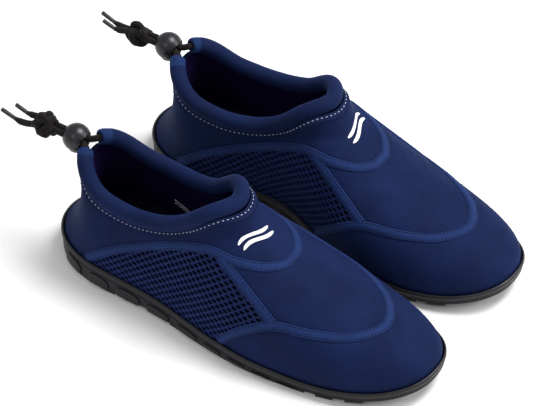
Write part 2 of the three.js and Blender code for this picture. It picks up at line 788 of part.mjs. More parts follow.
function lockBall() {
  const reach = LOCK_RADIUS + 1;
  const slotWidth = CORD + 2 * SLIDING_GAP;
  const slotHeight = CORD + CORD_PITCH + 2 * SLIDING_GAP;
  let solid = toManifold(new THREE.SphereGeometry(LOCK_RADIUS, 16, 10));
  const cuts = [
    cylinderAlongX(BORE_RADIUS, BORE_FLOOR, reach, 16),
    cylinderAlongX(POCKET_RADIUS, POCKET_FLOOR, BORE_FLOOR + 1, 12),
    slotAlongY(slotWidth, slotHeight, -reach, reach),
    slotAlongY(slotWidth + LOCK_FLARE, slotHeight + LOCK_FLARE, -reach, -FLARE_FLOOR),
  ];
  for (const cut of cuts) solid = solid.subtract(toManifold(cut));
  return fromManifold(solid);
}

function lockPlunger() {
  const height = CORD + CORD_PITCH + 2 * SLIDING_GAP;
  const window = new THREE.BoxGeometry(PLUNGER_TRAVEL - 2 * WINDOW_FLOOR, 2 * PLUNGER_RADIUS + 2, height);
  window.translate(PLUNGER_TRAVEL / 2, 0, 0);
  const body = toManifold(cylinderAlongX(PLUNGER_RADIUS, PLUNGER_FOOT, BUTTON_TOP, 16));
  return fromManifold(body.subtract(toManifold(window)));
}

function lockSpring(name) {
  const bottom = POCKET_FLOOR + SPRING_WIRE / 2 + SLIDING_GAP;
  const top = PLUNGER_FOOT - SPRING_WIRE / 2 - SLIDING_GAP;
  const points = [];
  const count = Math.round(SPRING_TURNS * 10);
  for (let i = 0; i <= count; i += 1) {
    const angle = (i / 10) * 2 * Math.PI;
    const x = lerp(bottom, top, i / count);
    points.push(new THREE.Vector3(x, SPRING_RADIUS * Math.cos(angle), SPRING_RADIUS * Math.sin(angle)));
  }
  const section = new THREE.Shape().absarc(0, 0, SPRING_WIRE / 2, 0, 2 * Math.PI);
  const path = new THREE.CatmullRomCurve3(points);
  const options = { steps: count, bevelEnabled: false, extrudePath: path, curveSegments: 3 };
  return named(name, new THREE.ExtrudeGeometry(section, options), springSteel);
}

// Turns a piece of the lock button down and puts it in its place behind the heel.
function seatLock(mesh) {
  mesh.rotation.y = Math.PI / 2;
  mesh.position.copy(placeOnCord(LOCK_STATION, 0, LOCK_HEIGHT));
  return mesh;
}

// ---------- free cords ----------

// The free cords of a shoe: out of the collar, side by side through the lock, into the knot and out
// behind it, as [station, across, height]. Each lead's first row comes after the collar's end.
const ABREAST = CORD / 2 + 0.15; // from the middle plane to each cord where the two lie side by side
const INNER_LEAD = [
  [18.1, ABREAST + 1.7, 84.5], [16.2, ABREAST + 0.5, 84.8], [14.2, ABREAST + 0.05, 84.8],
  [LOCK_STATION, ABREAST, 84.8], [-7.7, ABREAST, 84.8],
];
const OUTER_LEAD = INNER_LEAD.map(([station, x, z]) => [station, -x, z]);
const OUTER_TAIL = [[-23.9, -2.6, 81.9], [-29, -3.3, 80.7], [-34, -3.6, 80.2], [-38, -3.8, 80.9]];
const INNER_TAIL = [[-24.3, 2.8, 84.5], [-28, 3.2, 83.4], [-33, 3.4, 82.8]];
const OUTER_AGLET = [[-38.6, -3.8, 81.1], [-48.9, -4.2, 84.5]];
const INNER_AGLET = [[-33.6, 3.4, 82.9], [-42.6, 3.4, 85.8]];
const KNOT_CENTRE = [-15.9, 0, 83.6];

// The lock's station grades with the shoe's length, and the free cords go with it.
const CORD_SHIFT = LOCK_STATION * (GRADE - 1);
const placeOnCord = (station, x, z) => place(station + CORD_SHIFT, x, z);
const routed = (rows) => rows.map((row) => placeOnCord(...row));

// A lead starts square to the collar's end, a clearance away from it.
function lead(name, rows, end, inner) {
  const direction = end.clone().sub(inner).normalize();
  const start = end.clone().addScaledVector(direction, SLIDING_GAP);
  const next = start.clone().addScaledVector(direction, CORD / 3);
  return cordPiece(name, [start, next, ...routed(rows)], 11);
}

function aglet(name, rows) {
  const [from, to] = routed(rows);
  const geometry = new THREE.CylinderGeometry(AGLET / 2, AGLET / 2, from.distanceTo(to), 10);
  const mesh = named(name, geometry, blackPlastic);
  mesh.position.copy(between(from, to, 0.5));
  mesh.quaternion.setFromUnitVectors(new THREE.Vector3(0, 1, 0), to.clone().sub(from).normalize());
  return mesh;
}

function knot(name) {
  const geometry = new THREE.SphereGeometry(KNOT_RADIUS, 12, 8);
  const mesh = named(name, geometry, cordBraid);
  mesh.position.copy(placeOnCord(...KNOT_CENTRE));
  return mesh;
}

// ---------- one shoe ----------

function shoe(prefix) {
  const group = new THREE.Group();
  const name = (piece) => `${prefix}_${piece}`;
  const columns = yokeColumns();
  const layerInset = UPPER_INSET + NEOPRENE + 2 * GAP;
  const last = collarPoints.length - 1;
  group.add(
    outsole(name("outsole")),
    soleLayer(name("strobel_board"), layerInset, GAP, BOARD, boardFelt),
    soleLayer(name("insole"), layerInset + 2 * GAP, 2 * GAP + BOARD, INSOLE, foam),
    yokePanel(name("heel_yoke"), columns),
    facingStrip(name("collar_facing"), columns),
    collarTube(name("collar")),
    vampPanel(name("vamp")),
    toeGuardPanel(name("toe_guard")),
    netPanel(name("net_outer"), LATERAL),
    netPanel(name("net_inner"), MEDIAL),
    netLining(name("net_lining_outer"), LATERAL),
    netLining(name("net_lining_inner"), MEDIAL),
    crossingBinding(name("yoke_binding"), "yokeRear", "yokeFront"),
    crossingBinding(name("toe_binding"), "toeRear", "toeFront"),
    sideBinding(name("vamp_binding_outer"), LATERAL),
    sideBinding(name("vamp_binding_inner"), MEDIAL),
    cordPiece(name("drawcord"), collarPoints, COLLAR_STEPS),
    lead(name("cord_lead_outer"), OUTER_LEAD, collarPoints[last], collarPoints[last - 1]),
    lead(name("cord_lead_inner"), INNER_LEAD, collarPoints[0], collarPoints[1]),
    cordPiece(name("cord_tail_outer"), routed(OUTER_TAIL), 6),
    cordPiece(name("cord_tail_inner"), routed(INNER_TAIL), 5),
    knot(name("knot")),
    aglet(name("aglet_outer"), OUTER_AGLET),
    aglet(name("aglet_inner"), INNER_AGLET),
    seatLock(named(name("lock_ball"), lockBall(), blackPlastic)),
    seatLock(named(name("lock_plunger"), lockPlunger(), blackPlastic)),
    seatLock(lockSpring(name("lock_spring"))),
  );
  return group;
}

const pair = new THREE.Group();
const right = shoe("right");
right.position.x = -PAIR_SPACING / 2;
const left = shoe("left");
left.scale.x = -1;
left.position.x = PAIR_SPACING / 2;
pair.add(right, left);

export default pair;
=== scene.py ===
# %% [markdown]
# # A pair of neoprene water shoes
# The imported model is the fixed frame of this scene. It gives every size and every moving body.
# The right shoe is modelled once, in millimetres about its own middle. Its mirror image is the left shoe.

# %% Load the frame
import math
import bmesh
import bpy
import numpy as np
from mathutils import Matrix, Vector
from mathutils.bvhtree import BVHTree


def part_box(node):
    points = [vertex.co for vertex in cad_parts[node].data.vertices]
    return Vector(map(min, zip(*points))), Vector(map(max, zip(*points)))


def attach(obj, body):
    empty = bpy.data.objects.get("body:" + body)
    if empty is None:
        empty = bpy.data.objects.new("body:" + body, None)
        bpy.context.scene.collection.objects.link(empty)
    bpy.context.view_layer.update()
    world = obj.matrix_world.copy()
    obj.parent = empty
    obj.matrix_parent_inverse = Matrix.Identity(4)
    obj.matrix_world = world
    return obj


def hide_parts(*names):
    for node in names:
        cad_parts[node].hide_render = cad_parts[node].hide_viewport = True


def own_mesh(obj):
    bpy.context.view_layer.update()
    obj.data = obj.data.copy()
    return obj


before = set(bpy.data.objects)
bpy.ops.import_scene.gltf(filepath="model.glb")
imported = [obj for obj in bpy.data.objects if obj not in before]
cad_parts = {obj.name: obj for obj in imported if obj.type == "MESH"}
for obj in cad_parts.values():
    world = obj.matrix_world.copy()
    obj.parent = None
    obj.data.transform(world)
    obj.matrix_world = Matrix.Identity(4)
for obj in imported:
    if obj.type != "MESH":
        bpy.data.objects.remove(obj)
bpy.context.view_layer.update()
MM = 0.001
sole_low, sole_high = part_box("right_outsole")
LENGTH = (sole_high.y - sole_low.y) / MM
HALF = LENGTH / 2
PAIR_SPACING = 108.0
print("outsole length", round(LENGTH, 2), "mm")

# %% [markdown]
# ## Camera
# The view looks down on the outer side of the right shoe from behind its heel. A long lens keeps the
# two shoes close to the same size. The aim point lies above the right shoe, so the pair fills the picture.

# %% Set the camera
VIEW_AZIMUTH = 33.2
VIEW_ELEVATION = 46.0
VIEW_DISTANCE = 2.051
LENS = 209.6
AIM_RIGHT = 0.0132
AIM_UP = 0.0678


def add_camera():
    turn, tilt = math.radians(VIEW_AZIMUTH), math.radians(VIEW_ELEVATION)
    flat = Vector((math.cos(turn), math.sin(turn), 0))
    look = Vector((flat.x * math.cos(tilt), flat.y * math.cos(tilt), -math.sin(tilt)))
    right = look.cross(Vector((0, 0, 1))).normalized()
    up = right.cross(look)
    middle = Vector((-PAIR_SPACING * MM / 2, 0, 0))
    data = bpy.data.cameras.new("camera")
    data.lens = LENS
    data.clip_start, data.clip_end = 0.05, 20
    camera = bpy.data.objects.new("camera", data)
    bpy.context.scene.collection.objects.link(camera)
    camera.location = middle - look * VIEW_DISTANCE
    aim = middle + right * AIM_RIGHT + up * AIM_UP
    camera.rotation_mode = "QUATERNION"
    camera.rotation_quaternion = (aim - camera.location).to_track_quat("-Z", "Y")
    bpy.context.scene.camera = camera
    print("camera at", [round(c, 3) for c in camera.location])


add_camera()

# %% [markdown]
# ## The last
# A shoe's upper is pulled over a last, a smooth foot shape. Here the last is a formula: a rounded outline
# that narrows towards a ridge over the instep. Every seam is a line on it and every panel lies on it, so
# the fabric pieces meet without gaps.

# %% Sizes of the sole and the last
HEEL_WIDTH, WAIST_WIDTH, BALL_WIDTH = 39.5, 35.5, 50.0
HEEL_AT, WAIST_AT, BALL_AT = 50.0, 102.0, 184.0
TOE_FULLNESS = 2.3
RIDGE_FULLNESS = 2.3
RIDGE_LEAN = 0.65
TOE_SPRING = 10.0
HEEL_TUCK, HEEL_TUCK_TOP = 0.42, 0.8
RIM_WALL = 2.0
RIM_DEPTH = 6.0
UPPER_INSET = RIM_WALL + 0.6
NEOPRENE = 3.0
COLLAR_RADIUS = 5.7
COLLAR_MOUTH = 8.0
COLLAR_RISE, RISE_START, RISE_RUN = 7.0, 105, 30
CORD = 4.5
RIM_HEIGHTS = [[0, 19], [45, 19], [110, 15.5], [200, 10], [255, 9.5], [285, 10.5]]
RIDGE_HEIGHTS = [
    [0, 80], [22, 79], [45, 62.5], [62, 62.5], [80, 66.5], [100, 72], [118, 77],
    [134, 75.5], [150, 66.5], [184, 50], [220, 40.5], [255, 33], [285, 24],
]
YOKE_START, YOKE_END = 38, 177
YOKE_SEAM = [
    [YOKE_START, 0], [57, 25], [79, 44], [102, 57], [128, 64], [153, 66], [168, 72], [176, 82],
    [YOKE_END, 90],
]
TOE_START, TOE_END = 150, 247
TOE_SEAM = [
    [TOE_START, 0], [162, 17.5], [175, 30], [188, 38], [213, 44], [234, 54.5], [244, 72], [TOE_END, 90],
]
COLLAR_LINE = [
    [134.5, 90], [133, 85.5], [128.5, 81.3], [116, 74.2], [99, 68.3], [81, 64.2], [67, 62.7],
    [45, 64.4], [34, 69.5], [26, 77], [21.5, 84], [20, 90],
]


def smooth(t):
    t = np.clip(t, 0, 1)
    return t * t * (3 - 2 * t)


def unit(v):
    return v / np.maximum(np.linalg.norm(v, axis=-1, keepdims=True), 1e-12)


def graded(rows):
    """A smooth curve through a table's rows."""
    x, y = np.array(rows, float).T
    near, far = np.maximum(np.arange(len(x)) - 1, 0), np.minimum(np.arange(len(x)) + 1, len(x) - 1)
    slope = (y[far] - y[near]) / (x[far] - x[near])

    def curve(s):
        s = np.clip(s, x[0], x[-1])
        i = np.clip(np.searchsorted(x, s, side="right") - 1, 0, len(x) - 2)
        span, rise = x[i + 1] - x[i], y[i + 1] - y[i]
        t = (s - x[i]) / span
        bend = (1 - t) * (slope[i] * span - rise) + t * (rise - slope[i + 1] * span)
        return y[i] + rise * t + t * (1 - t) * bend

    return curve


rim_height = graded(RIM_HEIGHTS)
ridge_height = graded(RIDGE_HEIGHTS)


def ground(s):
    """The underside of the sole, which lifts at the toe."""
    return TOE_SPRING * np.clip((s / LENGTH - 0.75) / 0.25, 0, 1) ** 2


def rim(s):
    return rim_height(s) + ground(s)


def centre(s):
    share = s / LENGTH
    return 3 * smooth((share - 0.5) / 0.5) - 8 * np.exp(-(((share - 0.42) / 0.16) ** 2))


def side_width(s):
    rear = HEEL_WIDTH + (WAIST_WIDTH - HEEL_WIDTH) * smooth((s - HEEL_AT) / (WAIST_AT - HEEL_AT))
    return rear + (BALL_WIDTH - rear) * smooth((s - WAIST_AT) / (BALL_AT - WAIST_AT))


def half_width(s, inset):
    """Half the sole's width, inset all round."""
    heel = np.clip((HEEL_AT - s) / (HEEL_AT - inset), 0, 1)
    toe = np.clip((s - BALL_AT) / (LENGTH - inset - BALL_AT), 0, 1)
    width = side_width(s) - inset
    width = np.where(s < HEEL_AT, (HEEL_WIDTH - inset) * np.sqrt(1 - heel**2), width)
    rounded = (BALL_WIDTH - inset) * (1 - toe**TOE_FULLNESS) ** (1 / TOE_FULLNESS)
    return np.where(s > BALL_AT, rounded, width)


def place(s, x, z):
    s, x, z = np.broadcast_arrays(np.asarray(s, float), x, z)
    return np.stack([x, HALF - s, z], -1)


def last_field(p):
    """Below zero inside the last and above zero outside it."""
    s = HALF - p[..., 1]
    height = np.maximum(0, p[..., 2] - rim(s)) / ridge_height(s)
    across = np.abs(p[..., 0] - centre(s) * (1 - RIDGE_LEAN * np.minimum(1, height)))
    radius = across / (side_width(s) - UPPER_INSET)
    tuck = 1 + HEEL_TUCK * np.sin(np.pi * np.minimum(1, height / HEEL_TUCK_TOP))
    heel = tuck * np.maximum(0, HEEL_AT - s) / (HEEL_AT - UPPER_INSET)
    radius = np.where(s < HEEL_AT, np.hypot(across / (HEEL_WIDTH - UPPER_INSET), heel), radius)
    toe = np.maximum(0, s - BALL_AT) / (LENGTH - UPPER_INSET - BALL_AT)
    wide = across / (BALL_WIDTH - UPPER_INSET)
    toe_radius = (wide**TOE_FULLNESS + toe**TOE_FULLNESS) ** (1 / TOE_FULLNESS)
    radius = np.where(s > BALL_AT, toe_radius, radius)
    return radius**RIDGE_FULLNESS + height**RIDGE_FULLNESS - 1


def surface_along(origin, direction):
    near = np.zeros(direction.shape[:-1])
    far = np.full(direction.shape[:-1], LENGTH)
    for _ in range(40):
        middle = (near + far) / 2
        inside = last_field(origin + direction * middle[..., None]) < 0
        near, far = np.where(inside, middle, near), np.where(inside, far, middle)
    return origin + direction * near[..., None]


def spine(s):
    return place(s, centre(s) * (1 - RIDGE_LEAN), rim(s))


def on_last(p):
    origin = spine(np.clip(HALF - p[..., 1], HEEL_AT, BALL_AT))
    return surface_along(origin, unit(p - origin))


def on_section(s, degrees, side):
    angle = np.radians(degrees)
    direction = np.stack([side * np.cos(angle), 0 * angle, np.sin(angle)], -1)
    return surface_along(spine(s), direction)


def normal_at(p):
    step = 0.05
    slopes = [last_field(p + axis) - last_field(p - axis) for axis in np.eye(3) * step]
    return unit(np.stack(slopes, -1))


def foot(s, side):
    """Where the upper stands inside the rim."""
    return place(s, centre(s) + side * half_width(s, UPPER_INSET), rim(s) - RIM_DEPTH + 0.4)


# %% Curves through points
def through(points, shares, closed=False):
    """A centripetal curve through points, at shares of its parameter."""
    points = np.asarray(points, float)
    count = len(points)
    position = np.asarray(shares, float) * (count if closed else count - 1)
    i = np.floor(position).astype(int)
    if not closed:
        i = np.clip(i, 0, count - 2)
    w = (position - i)[:, None]
    if closed:
        a, b, c, d = (points[(i + k) % count] for k in (-1, 0, 1, 2))
    else:
        padded = np.vstack([2 * points[0] - points[1], points, 2 * points[-1] - points[-2]])
        a, b, c, d = (padded[i + k] for k in (0, 1, 2, 3))
    pairs = ((a, b), (b, c), (c, d))
    gaps = [np.maximum(np.linalg.norm(q - p, axis=1), 1e-6)[:, None] ** 0.5 for p, q in pairs]
    start = ((b - a) / gaps[0] - (c - a) / (gaps[0] + gaps[1]) + (c - b) / gaps[1]) * gaps[1]
    stop = ((c - b) / gaps[1] - (d - b) / (gaps[1] + gaps[2]) + (d - c) / gaps[2]) * gaps[1]
    cubic = 2 * b - 2 * c + start + stop
    square = -3 * b + 3 * c - 2 * start - stop
    return b + start * w + square * w**2 + cubic * w**3


def lengths_along(line):
    return np.concatenate([[0], np.cumsum(np.linalg.norm(np.diff(line, axis=0), axis=1))])


def respaced(line, count, start=0.0, stop=None):
    """The same line in even steps, from one length along it to another."""
    along = lengths_along(line)
    stop = along[-1] if stop is None else stop
    at = np.linspace(start, stop, count)
    return np.stack([np.interp(at, along, line[:, k]) for k in range(3)], -1)


def tangents(line, closed=False):
    if closed:
        return unit(np.roll(line, -1, 0) - np.roll(line, 1, 0))
    return unit(np.gradient(line, axis=0))


# %% Seams of the upper
VAMP_SEAM_TOP, VAMP_SEAM_FOOT = 138.0, 188.0
FINE = 60    # points on each part of a seam
sides = {"outer": -1, "inner": 1}


def seam_line(rows, side, start, stop):
    """The part of a seam between two stations."""
    rows = [[s, d, 0] for s, d in rows]
    even = np.linspace(0, 1, 600)
    shares = np.interp([start, stop], through(rows, even)[:, 0], even)
    at = through(rows, np.linspace(*shares, FINE))
    return on_section(at[:, 0], at[:, 1], side)


def side_seams(side):
    yoke_rear = seam_line(YOKE_SEAM, side, YOKE_START, VAMP_SEAM_TOP)
    yoke_front = seam_line(YOKE_SEAM, side, VAMP_SEAM_TOP, YOKE_END)
    toe_rear = seam_line(TOE_SEAM, side, TOE_START, VAMP_SEAM_FOOT)
    toe_front = seam_line(TOE_SEAM, side, VAMP_SEAM_FOOT, TOE_END)
    share = np.linspace(0, 1, FINE)[:, None]
    vamp = on_last(yoke_front[0] * (1 - share) + toe_front[0] * share)
    return {"yoke_rear": yoke_rear, "yoke_front": yoke_front, "toe_rear": toe_rear,
            "toe_front": toe_front, "vamp": vamp}


seams = {name: side_seams(side) for name, side in sides.items()}
all_seams = np.vstack([line for group in seams.values() for line in group.values()])
print("seam points", len(all_seams))

# %% The collar's line
def collar_side(rows, side):
    return np.array([on_section(np.float64(s), np.float64(d), side) for s, d in rows])


collar_rows = np.vstack([collar_side(COLLAR_LINE, -1), collar_side(COLLAR_LINE[1:-1], 1)[::-1]])
collar_loop = through(collar_rows, np.linspace(0, 1, 1201), closed=True)
loop_lengths = lengths_along(collar_loop)
collar_length = loop_lengths[-1]


def collar_at(share):
    """Points of the collar's line, with the ways out of the last and down the yoke, and the rise."""
    at = np.mod(share, 1) * collar_length
    step = 0.3
    points = [np.stack([np.interp(np.mod(at + d, collar_length), loop_lengths, collar_loop[:, k])
                        for k in range(3)], -1) for d in (-step, 0, step)]
    point = on_last(points[1])
    out = normal_at(point)
    down = unit(np.cross(out, points[2] - points[0]))
    rise = COLLAR_RISE * smooth((HALF - point[..., 1] - RISE_START) / RISE_RUN)
    return point, out, down, rise


mouth = COLLAR_MOUTH / collar_length
COLLAR_STEPS = 150
collar_shares = np.linspace(0.5 + mouth, 1.5 - mouth, COLLAR_STEPS)
collar_point, collar_out, _, collar_rise = collar_at(collar_shares)
collar_path = collar_point + collar_out * collar_rise[:, None]
print("collar runs", round(collar_length, 1), "mm, and ends at", collar_path[[0, -1]].round(2).tolist())

# %% [markdown]
# ## How a finished piece is put in place
# A piece is finished in millimetres about the right shoe's middle. Two copies of its mesh are then made,
# one moved to the right shoe and one mirrored to the left shoe. A mirrored mesh is inside out, so its faces
# are flipped. Each copy rides on a body of its own shoe.

# %% Helpers for pieces
PREFIXES = {"right": 1, "left": -1}
pieces = {}


def make_pair(mesh, name, body="root", replaces=()):
    """The right and left piece from one mesh in millimetres."""
    for prefix, way in PREFIXES.items():
        data = mesh.copy()
        data.transform(Matrix.Diagonal((way * MM, MM, MM, 1)))
        data.transform(Matrix.Translation((-way * PAIR_SPACING * MM / 2, 0, 0)))
        if way < 0:
            data.flip_normals()
        piece = bpy.data.objects.new(f"{prefix}_{name}", data)
        bpy.context.scene.collection.objects.link(piece)
        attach(piece, body if body == "root" else f"{prefix}_{body}")
        if replaces:
            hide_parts(*[f"{prefix}_{node}" for node in replaces])
        pieces[piece.name] = piece
    print(name, len(mesh.polygons), "faces")


def new_mesh(points, faces, looks, uv=None, face_looks=None, angle=None):
    """A mesh in millimetres. Looks are names of finishes, and uv is one pair for each point."""
    mesh = bpy.data.meshes.new("part")
    mesh.from_pydata(np.asarray(points).tolist(), [], [list(map(int, f)) for f in faces])
    for look in looks:
        mesh.materials.append(finishes[look])
    if face_looks is not None:
        mesh.polygons.foreach_set("material_index", np.asarray(face_looks, np.int32))
    if uv is not None:
        layer = mesh.uv_layers.new(name="uv")
        index = np.zeros(len(mesh.loops), np.int32)
        mesh.loops.foreach_get("vertex_index", index)
        layer.data.foreach_set("uv", (np.asarray(uv, np.float32)[index] * MM).ravel())
    mesh.shade_smooth()
    if angle is not None:
        mesh.set_sharp_from_angle(angle=math.radians(angle))
    bm = bmesh.new()
    bm.from_mesh(mesh)
    if bm.calc_volume(signed=True) < 0:
        bmesh.ops.reverse_faces(bm, faces=bm.faces)
    bm.to_mesh(mesh)
    bm.free()
    return mesh


def grid_faces(rows, columns, wrap_rows=False, wrap_columns=False, first=0):
    """Quads of a grid whose points run along a row first."""
    r = np.arange(rows if wrap_rows else rows - 1)
    c = np.arange(columns if wrap_columns else columns - 1)
    i, j = (a.ravel() for a in np.meshgrid(r, c, indexing="ij"))
    i2, j2 = (i + 1) % rows, (j + 1) % columns
    return first + np.stack([i * columns + j, i * columns + j2, i2 * columns + j2, i2 * columns + j], -1)


def sweep(line, first, second, profile, looks, closed=False, angle=None, scale=None):
    """A closed profile carried along a line; first and second are the profile's two ways."""
    profile = np.asarray(profile, float)
    size = np.ones(len(line)) if scale is None else scale
    a, b = profile[:, 0], profile[:, 1]
    across = a[None, :, None] * first[:, None] + b[None, :, None] * second[:, None]
    points = line[:, None] + across * size[:, None, None]
    round_it = np.concatenate([[0], np.cumsum(np.hypot(*np.diff(profile, axis=0).T))])
    along = lengths_along(line)
    uv = np.stack(np.broadcast_arrays(round_it[None, :], along[:, None]), -1)
    faces = grid_faces(len(line), len(profile), wrap_rows=closed, wrap_columns=True).tolist()
    if not closed:
        count = len(profile)
        faces += [list(range(count))[::-1], [(len(line) - 1) * count + k for k in range(count)]]
    return new_mesh(points.reshape(-1, 3), faces, looks, uv.reshape(-1, 2), angle=angle)


def circle(radius, sides):
    turn = np.linspace(0, 2 * np.pi, sides, endpoint=False)
    return np.stack([radius * np.cos(turn), radius * np.sin(turn)], -1)


def frames_along(line):
    """Two ways square to a line that don't twist along it."""
    ahead = tangents(line)
    first = np.zeros_like(line)
    side = np.array([0.0, 0.0, 1.0]) if abs(ahead[0][2]) < 0.8 else np.array([1.0, 0.0, 0.0])
    for i, way in enumerate(ahead):
        side = unit(side - way * (side @ way))
        first[i] = side
    return first, np.cross(ahead, first)


def tube(line, radius, look, sides, scale=None):
    return sweep(line, *frames_along(line), circle(radius, sides), [look], scale=scale)


def joined(meshes):
    """One mesh from several, each with its own materials and uv."""
    bpy.ops.object.select_all(action="DESELECT")
    objects = []
    for mesh in meshes:
        piece = bpy.data.objects.new("part", mesh)
        bpy.context.scene.collection.objects.link(piece)
        piece.select_set(True)
        objects.append(piece)
    bpy.context.view_layer.objects.active = objects[0]
    bpy.ops.object.join()
    whole = objects[0].data
    bpy.data.objects.remove(objects[0])
    return whole


def start_piece(add, **sizes):
    """A new primitive, alone in the selection, with its place and turn in its mesh."""
    bpy.ops.object.select_all(action="DESELECT")
    add(**sizes)
    bpy.ops.object.transform_apply(location=True, rotation=True, scale=True)
    return bpy.context.object


def select_only(piece):
    bpy.ops.object.select_all(action="DESELECT")
    piece.select_set(True)
    bpy.context.view_layer.objects.active = piece


def taken_apart(piece):
    """A template's points and faces. Its object is removed."""
    points = np.array([v.co for v in piece.data.vertices])
    faces = [list(p.vertices) for p in piece.data.polygons]
    bpy.data.objects.remove(piece)
    return points, faces


def copied(copies, faces, looks, angle=None):
    """One mesh from a template's faces and the points of each of its copies."""
    count = len(copies[0])
    listed = [[v + k * count for v in face] for k in range(len(copies)) for face in faces]
    return new_mesh(np.asarray(copies).reshape(-1, 3), listed, looks, angle=angle)


def face_out(mesh, merge=0.0):
    """Turns a closed mesh's faces outwards, after its doubled points are merged."""
    bm = bmesh.new()
    bm.from_mesh(mesh)
    if merge:
        bmesh.ops.remove_doubles(bm, verts=bm.verts, dist=merge)
    bmesh.ops.recalc_face_normals(bm, faces=bm.faces)
    print("open edges", sum(e.is_boundary for e in bm.edges))
    bm.to_mesh(mesh)
    bm.free()


# %% [markdown]
# ## Finishes
# Each finish is built from nodes. A knit shows as small bumps at the scale of its loops, with a soft sheen
# and slow changes of colour. Tapes and cords use their own uv, in metres, so that ribs follow them.

# %% Helpers for finishes
BANDS_PER_METRE = 3.2    # of a wave texture at scale 1


class Finish:
    """A material with its nodes at hand."""

    def __init__(self, name, roughness, **sockets):
        self.material = bpy.data.materials.new(name)
        self.material.use_nodes = True
        self.tree = self.material.node_tree
        self.shader = self.tree.nodes["Principled BSDF"]
        self.shader.inputs["Roughness"].default_value = roughness
        for socket, value in sockets.items():
            self.shader.inputs[socket.replace("_", " ")].default_value = value
        self.coordinates = self.tree.nodes.new("ShaderNodeTexCoord")

    def node(self, kind, **values):
        node = self.tree.nodes.new(f"ShaderNode{kind}")
        for name, value in values.items():
            key = name.replace("_", " ")
            if key in node.inputs:
                node.inputs[key].default_value = value
            else:
                setattr(node, name, value)
        return node

    def link(self, source, target):
        self.tree.links.new(source, target)

    def pattern(self, kind, output="Fac", vector=None, **values):
        """A texture node on Object coordinates, or on the vector that is given."""
        node = self.node(f"Tex{kind}", **values)
        self.link(vector or self.coordinates.outputs["Object"], node.inputs["Vector"])
        return node.outputs[output]

    def noise(self, scale, detail=3.0):
        return self.pattern("Noise", Scale=scale, Detail=detail)

    def ribs(self, pitch, angle=0, distortion=0.0):
        """Bands across a piece's own uv, turned by an angle."""
        turn = self.node("Mapping", Rotation=(0, 0, math.radians(angle)))
        self.link(self.coordinates.outputs["UV"], turn.inputs["Vector"])
        return self.pattern("Wave", vector=turn.outputs["Vector"], bands_direction="Y", Distortion=distortion,
                            Scale=1 / pitch / BANDS_PER_METRE)

    def ramp(self, source, colors, low=0.3, high=0.7):
        node = self.node("ValToRGB")
        for element, position, color in zip(node.color_ramp.elements, (low, high), colors):
            element.position, element.color = position, (*color, 1)
        self.link(source, node.inputs["Fac"])
        return node.outputs["Color"]

    def both(self, first, second, operation="ADD"):
        node = self.node("Math", operation=operation)
        self.link(first, node.inputs[0])
        self.link(second, node.inputs[1])
        return node.outputs["Value"]

    def paint(self, color):
        self.link(color, self.shader.inputs["Base Color"])

    def wear(self, source, low, high):
        """Roughness that changes with a pattern."""
        node = self.node("MapRange", To_Min=low, To_Max=high)
        self.link(source, node.inputs["Value"])
        self.link(node.outputs["Result"], self.shader.inputs["Roughness"])

    def bump(self, source, distance):
        node = self.node("Bump", Strength=1.0, Distance=distance)
        self.link(source, node.inputs["Height"])
        self.link(node.outputs["Normal"], self.shader.inputs["Normal"])


def shades(color, change, rise=None):
    """A darker and a lighter shade of a colour."""
    return [tuple(c * share for c in color) for share in (1 - change, 1 + (change if rise is None else rise))]


def knit(name, color, loop=1500.0, change=0.2, sheen=0.06):
    """A jersey-faced foam: fine loops, a soft sheen and faint rubbed patches."""
    finish = Finish(name, 0.78, Sheen_Weight=sheen, Sheen_Roughness=0.45, Sheen_Tint=(0.12, 0.25, 0.8, 1),
                    Specular_IOR_Level=0.08)
    loops = finish.pattern("Voronoi", "Distance", Scale=loop)
    mix = finish.node("Mix", data_type="RGBA", blend_type="MULTIPLY")
    mix.inputs[0].default_value = 1.0
    finish.link(finish.ramp(finish.noise(38.0, 4.0), shades(color, change)), mix.inputs[6])
    finish.link(finish.ramp(loops, shades((1, 1, 1), 0.16), 0.1, 0.9), mix.inputs[7])
    finish.paint(mix.outputs[2])
    finish.wear(finish.noise(90.0), 0.7, 0.86)
    finish.bump(finish.both(loops, finish.noise(420.0, 2.0)), 0.00012)
    return finish.material


def ribbed(name, color, pitch, change=0.25):
    """A woven tape or thread: fine ribs across its length."""
    finish = Finish(name, 0.75, Sheen_Weight=0.12, Sheen_Roughness=0.4, Sheen_Tint=(0.2, 0.35, 1, 1),
                    Specular_IOR_Level=0.1)
    ribs = finish.ribs(pitch, distortion=0.6)
    rubbed = finish.both(ribs, finish.noise(60.0), "MULTIPLY")
    finish.paint(finish.ramp(rubbed, shades(color, change), 0.1, 0.6))
    finish.bump(finish.both(ribs, finish.noise(900.0)), 0.00015)
    return finish.material


def braid(name, color, pitch=0.0016):
    """A braided cord: two diagonal sets of ribs that cross."""
    finish = Finish(name, 0.7, Sheen_Weight=0.05, Specular_IOR_Level=0.12)
    weave = finish.both(finish.ribs(pitch, 38), finish.ribs(pitch, -38), "MAXIMUM")
    finish.paint(finish.ramp(weave, shades(color, 0.5, 0.9), 0.2, 0.9))
    finish.bump(finish.both(weave, finish.noise(1500.0)), 0.0003)
    return finish.material


def rubber(name, color):
    """Moulded rubber: a fine mould grain, dusty patches and a satin shine."""
    finish = Finish(name, 0.45, Specular_IOR_Level=0.3)
    finish.paint(finish.ramp(finish.noise(45.0, 5.0), shades(color, 0.3)))
    finish.wear(finish.noise(130.0, 4.0), 0.34, 0.56)
    finish.bump(finish.both(finish.noise(1400.0, 2.0), finish.noise(160.0)), 0.00006)
    return finish.material


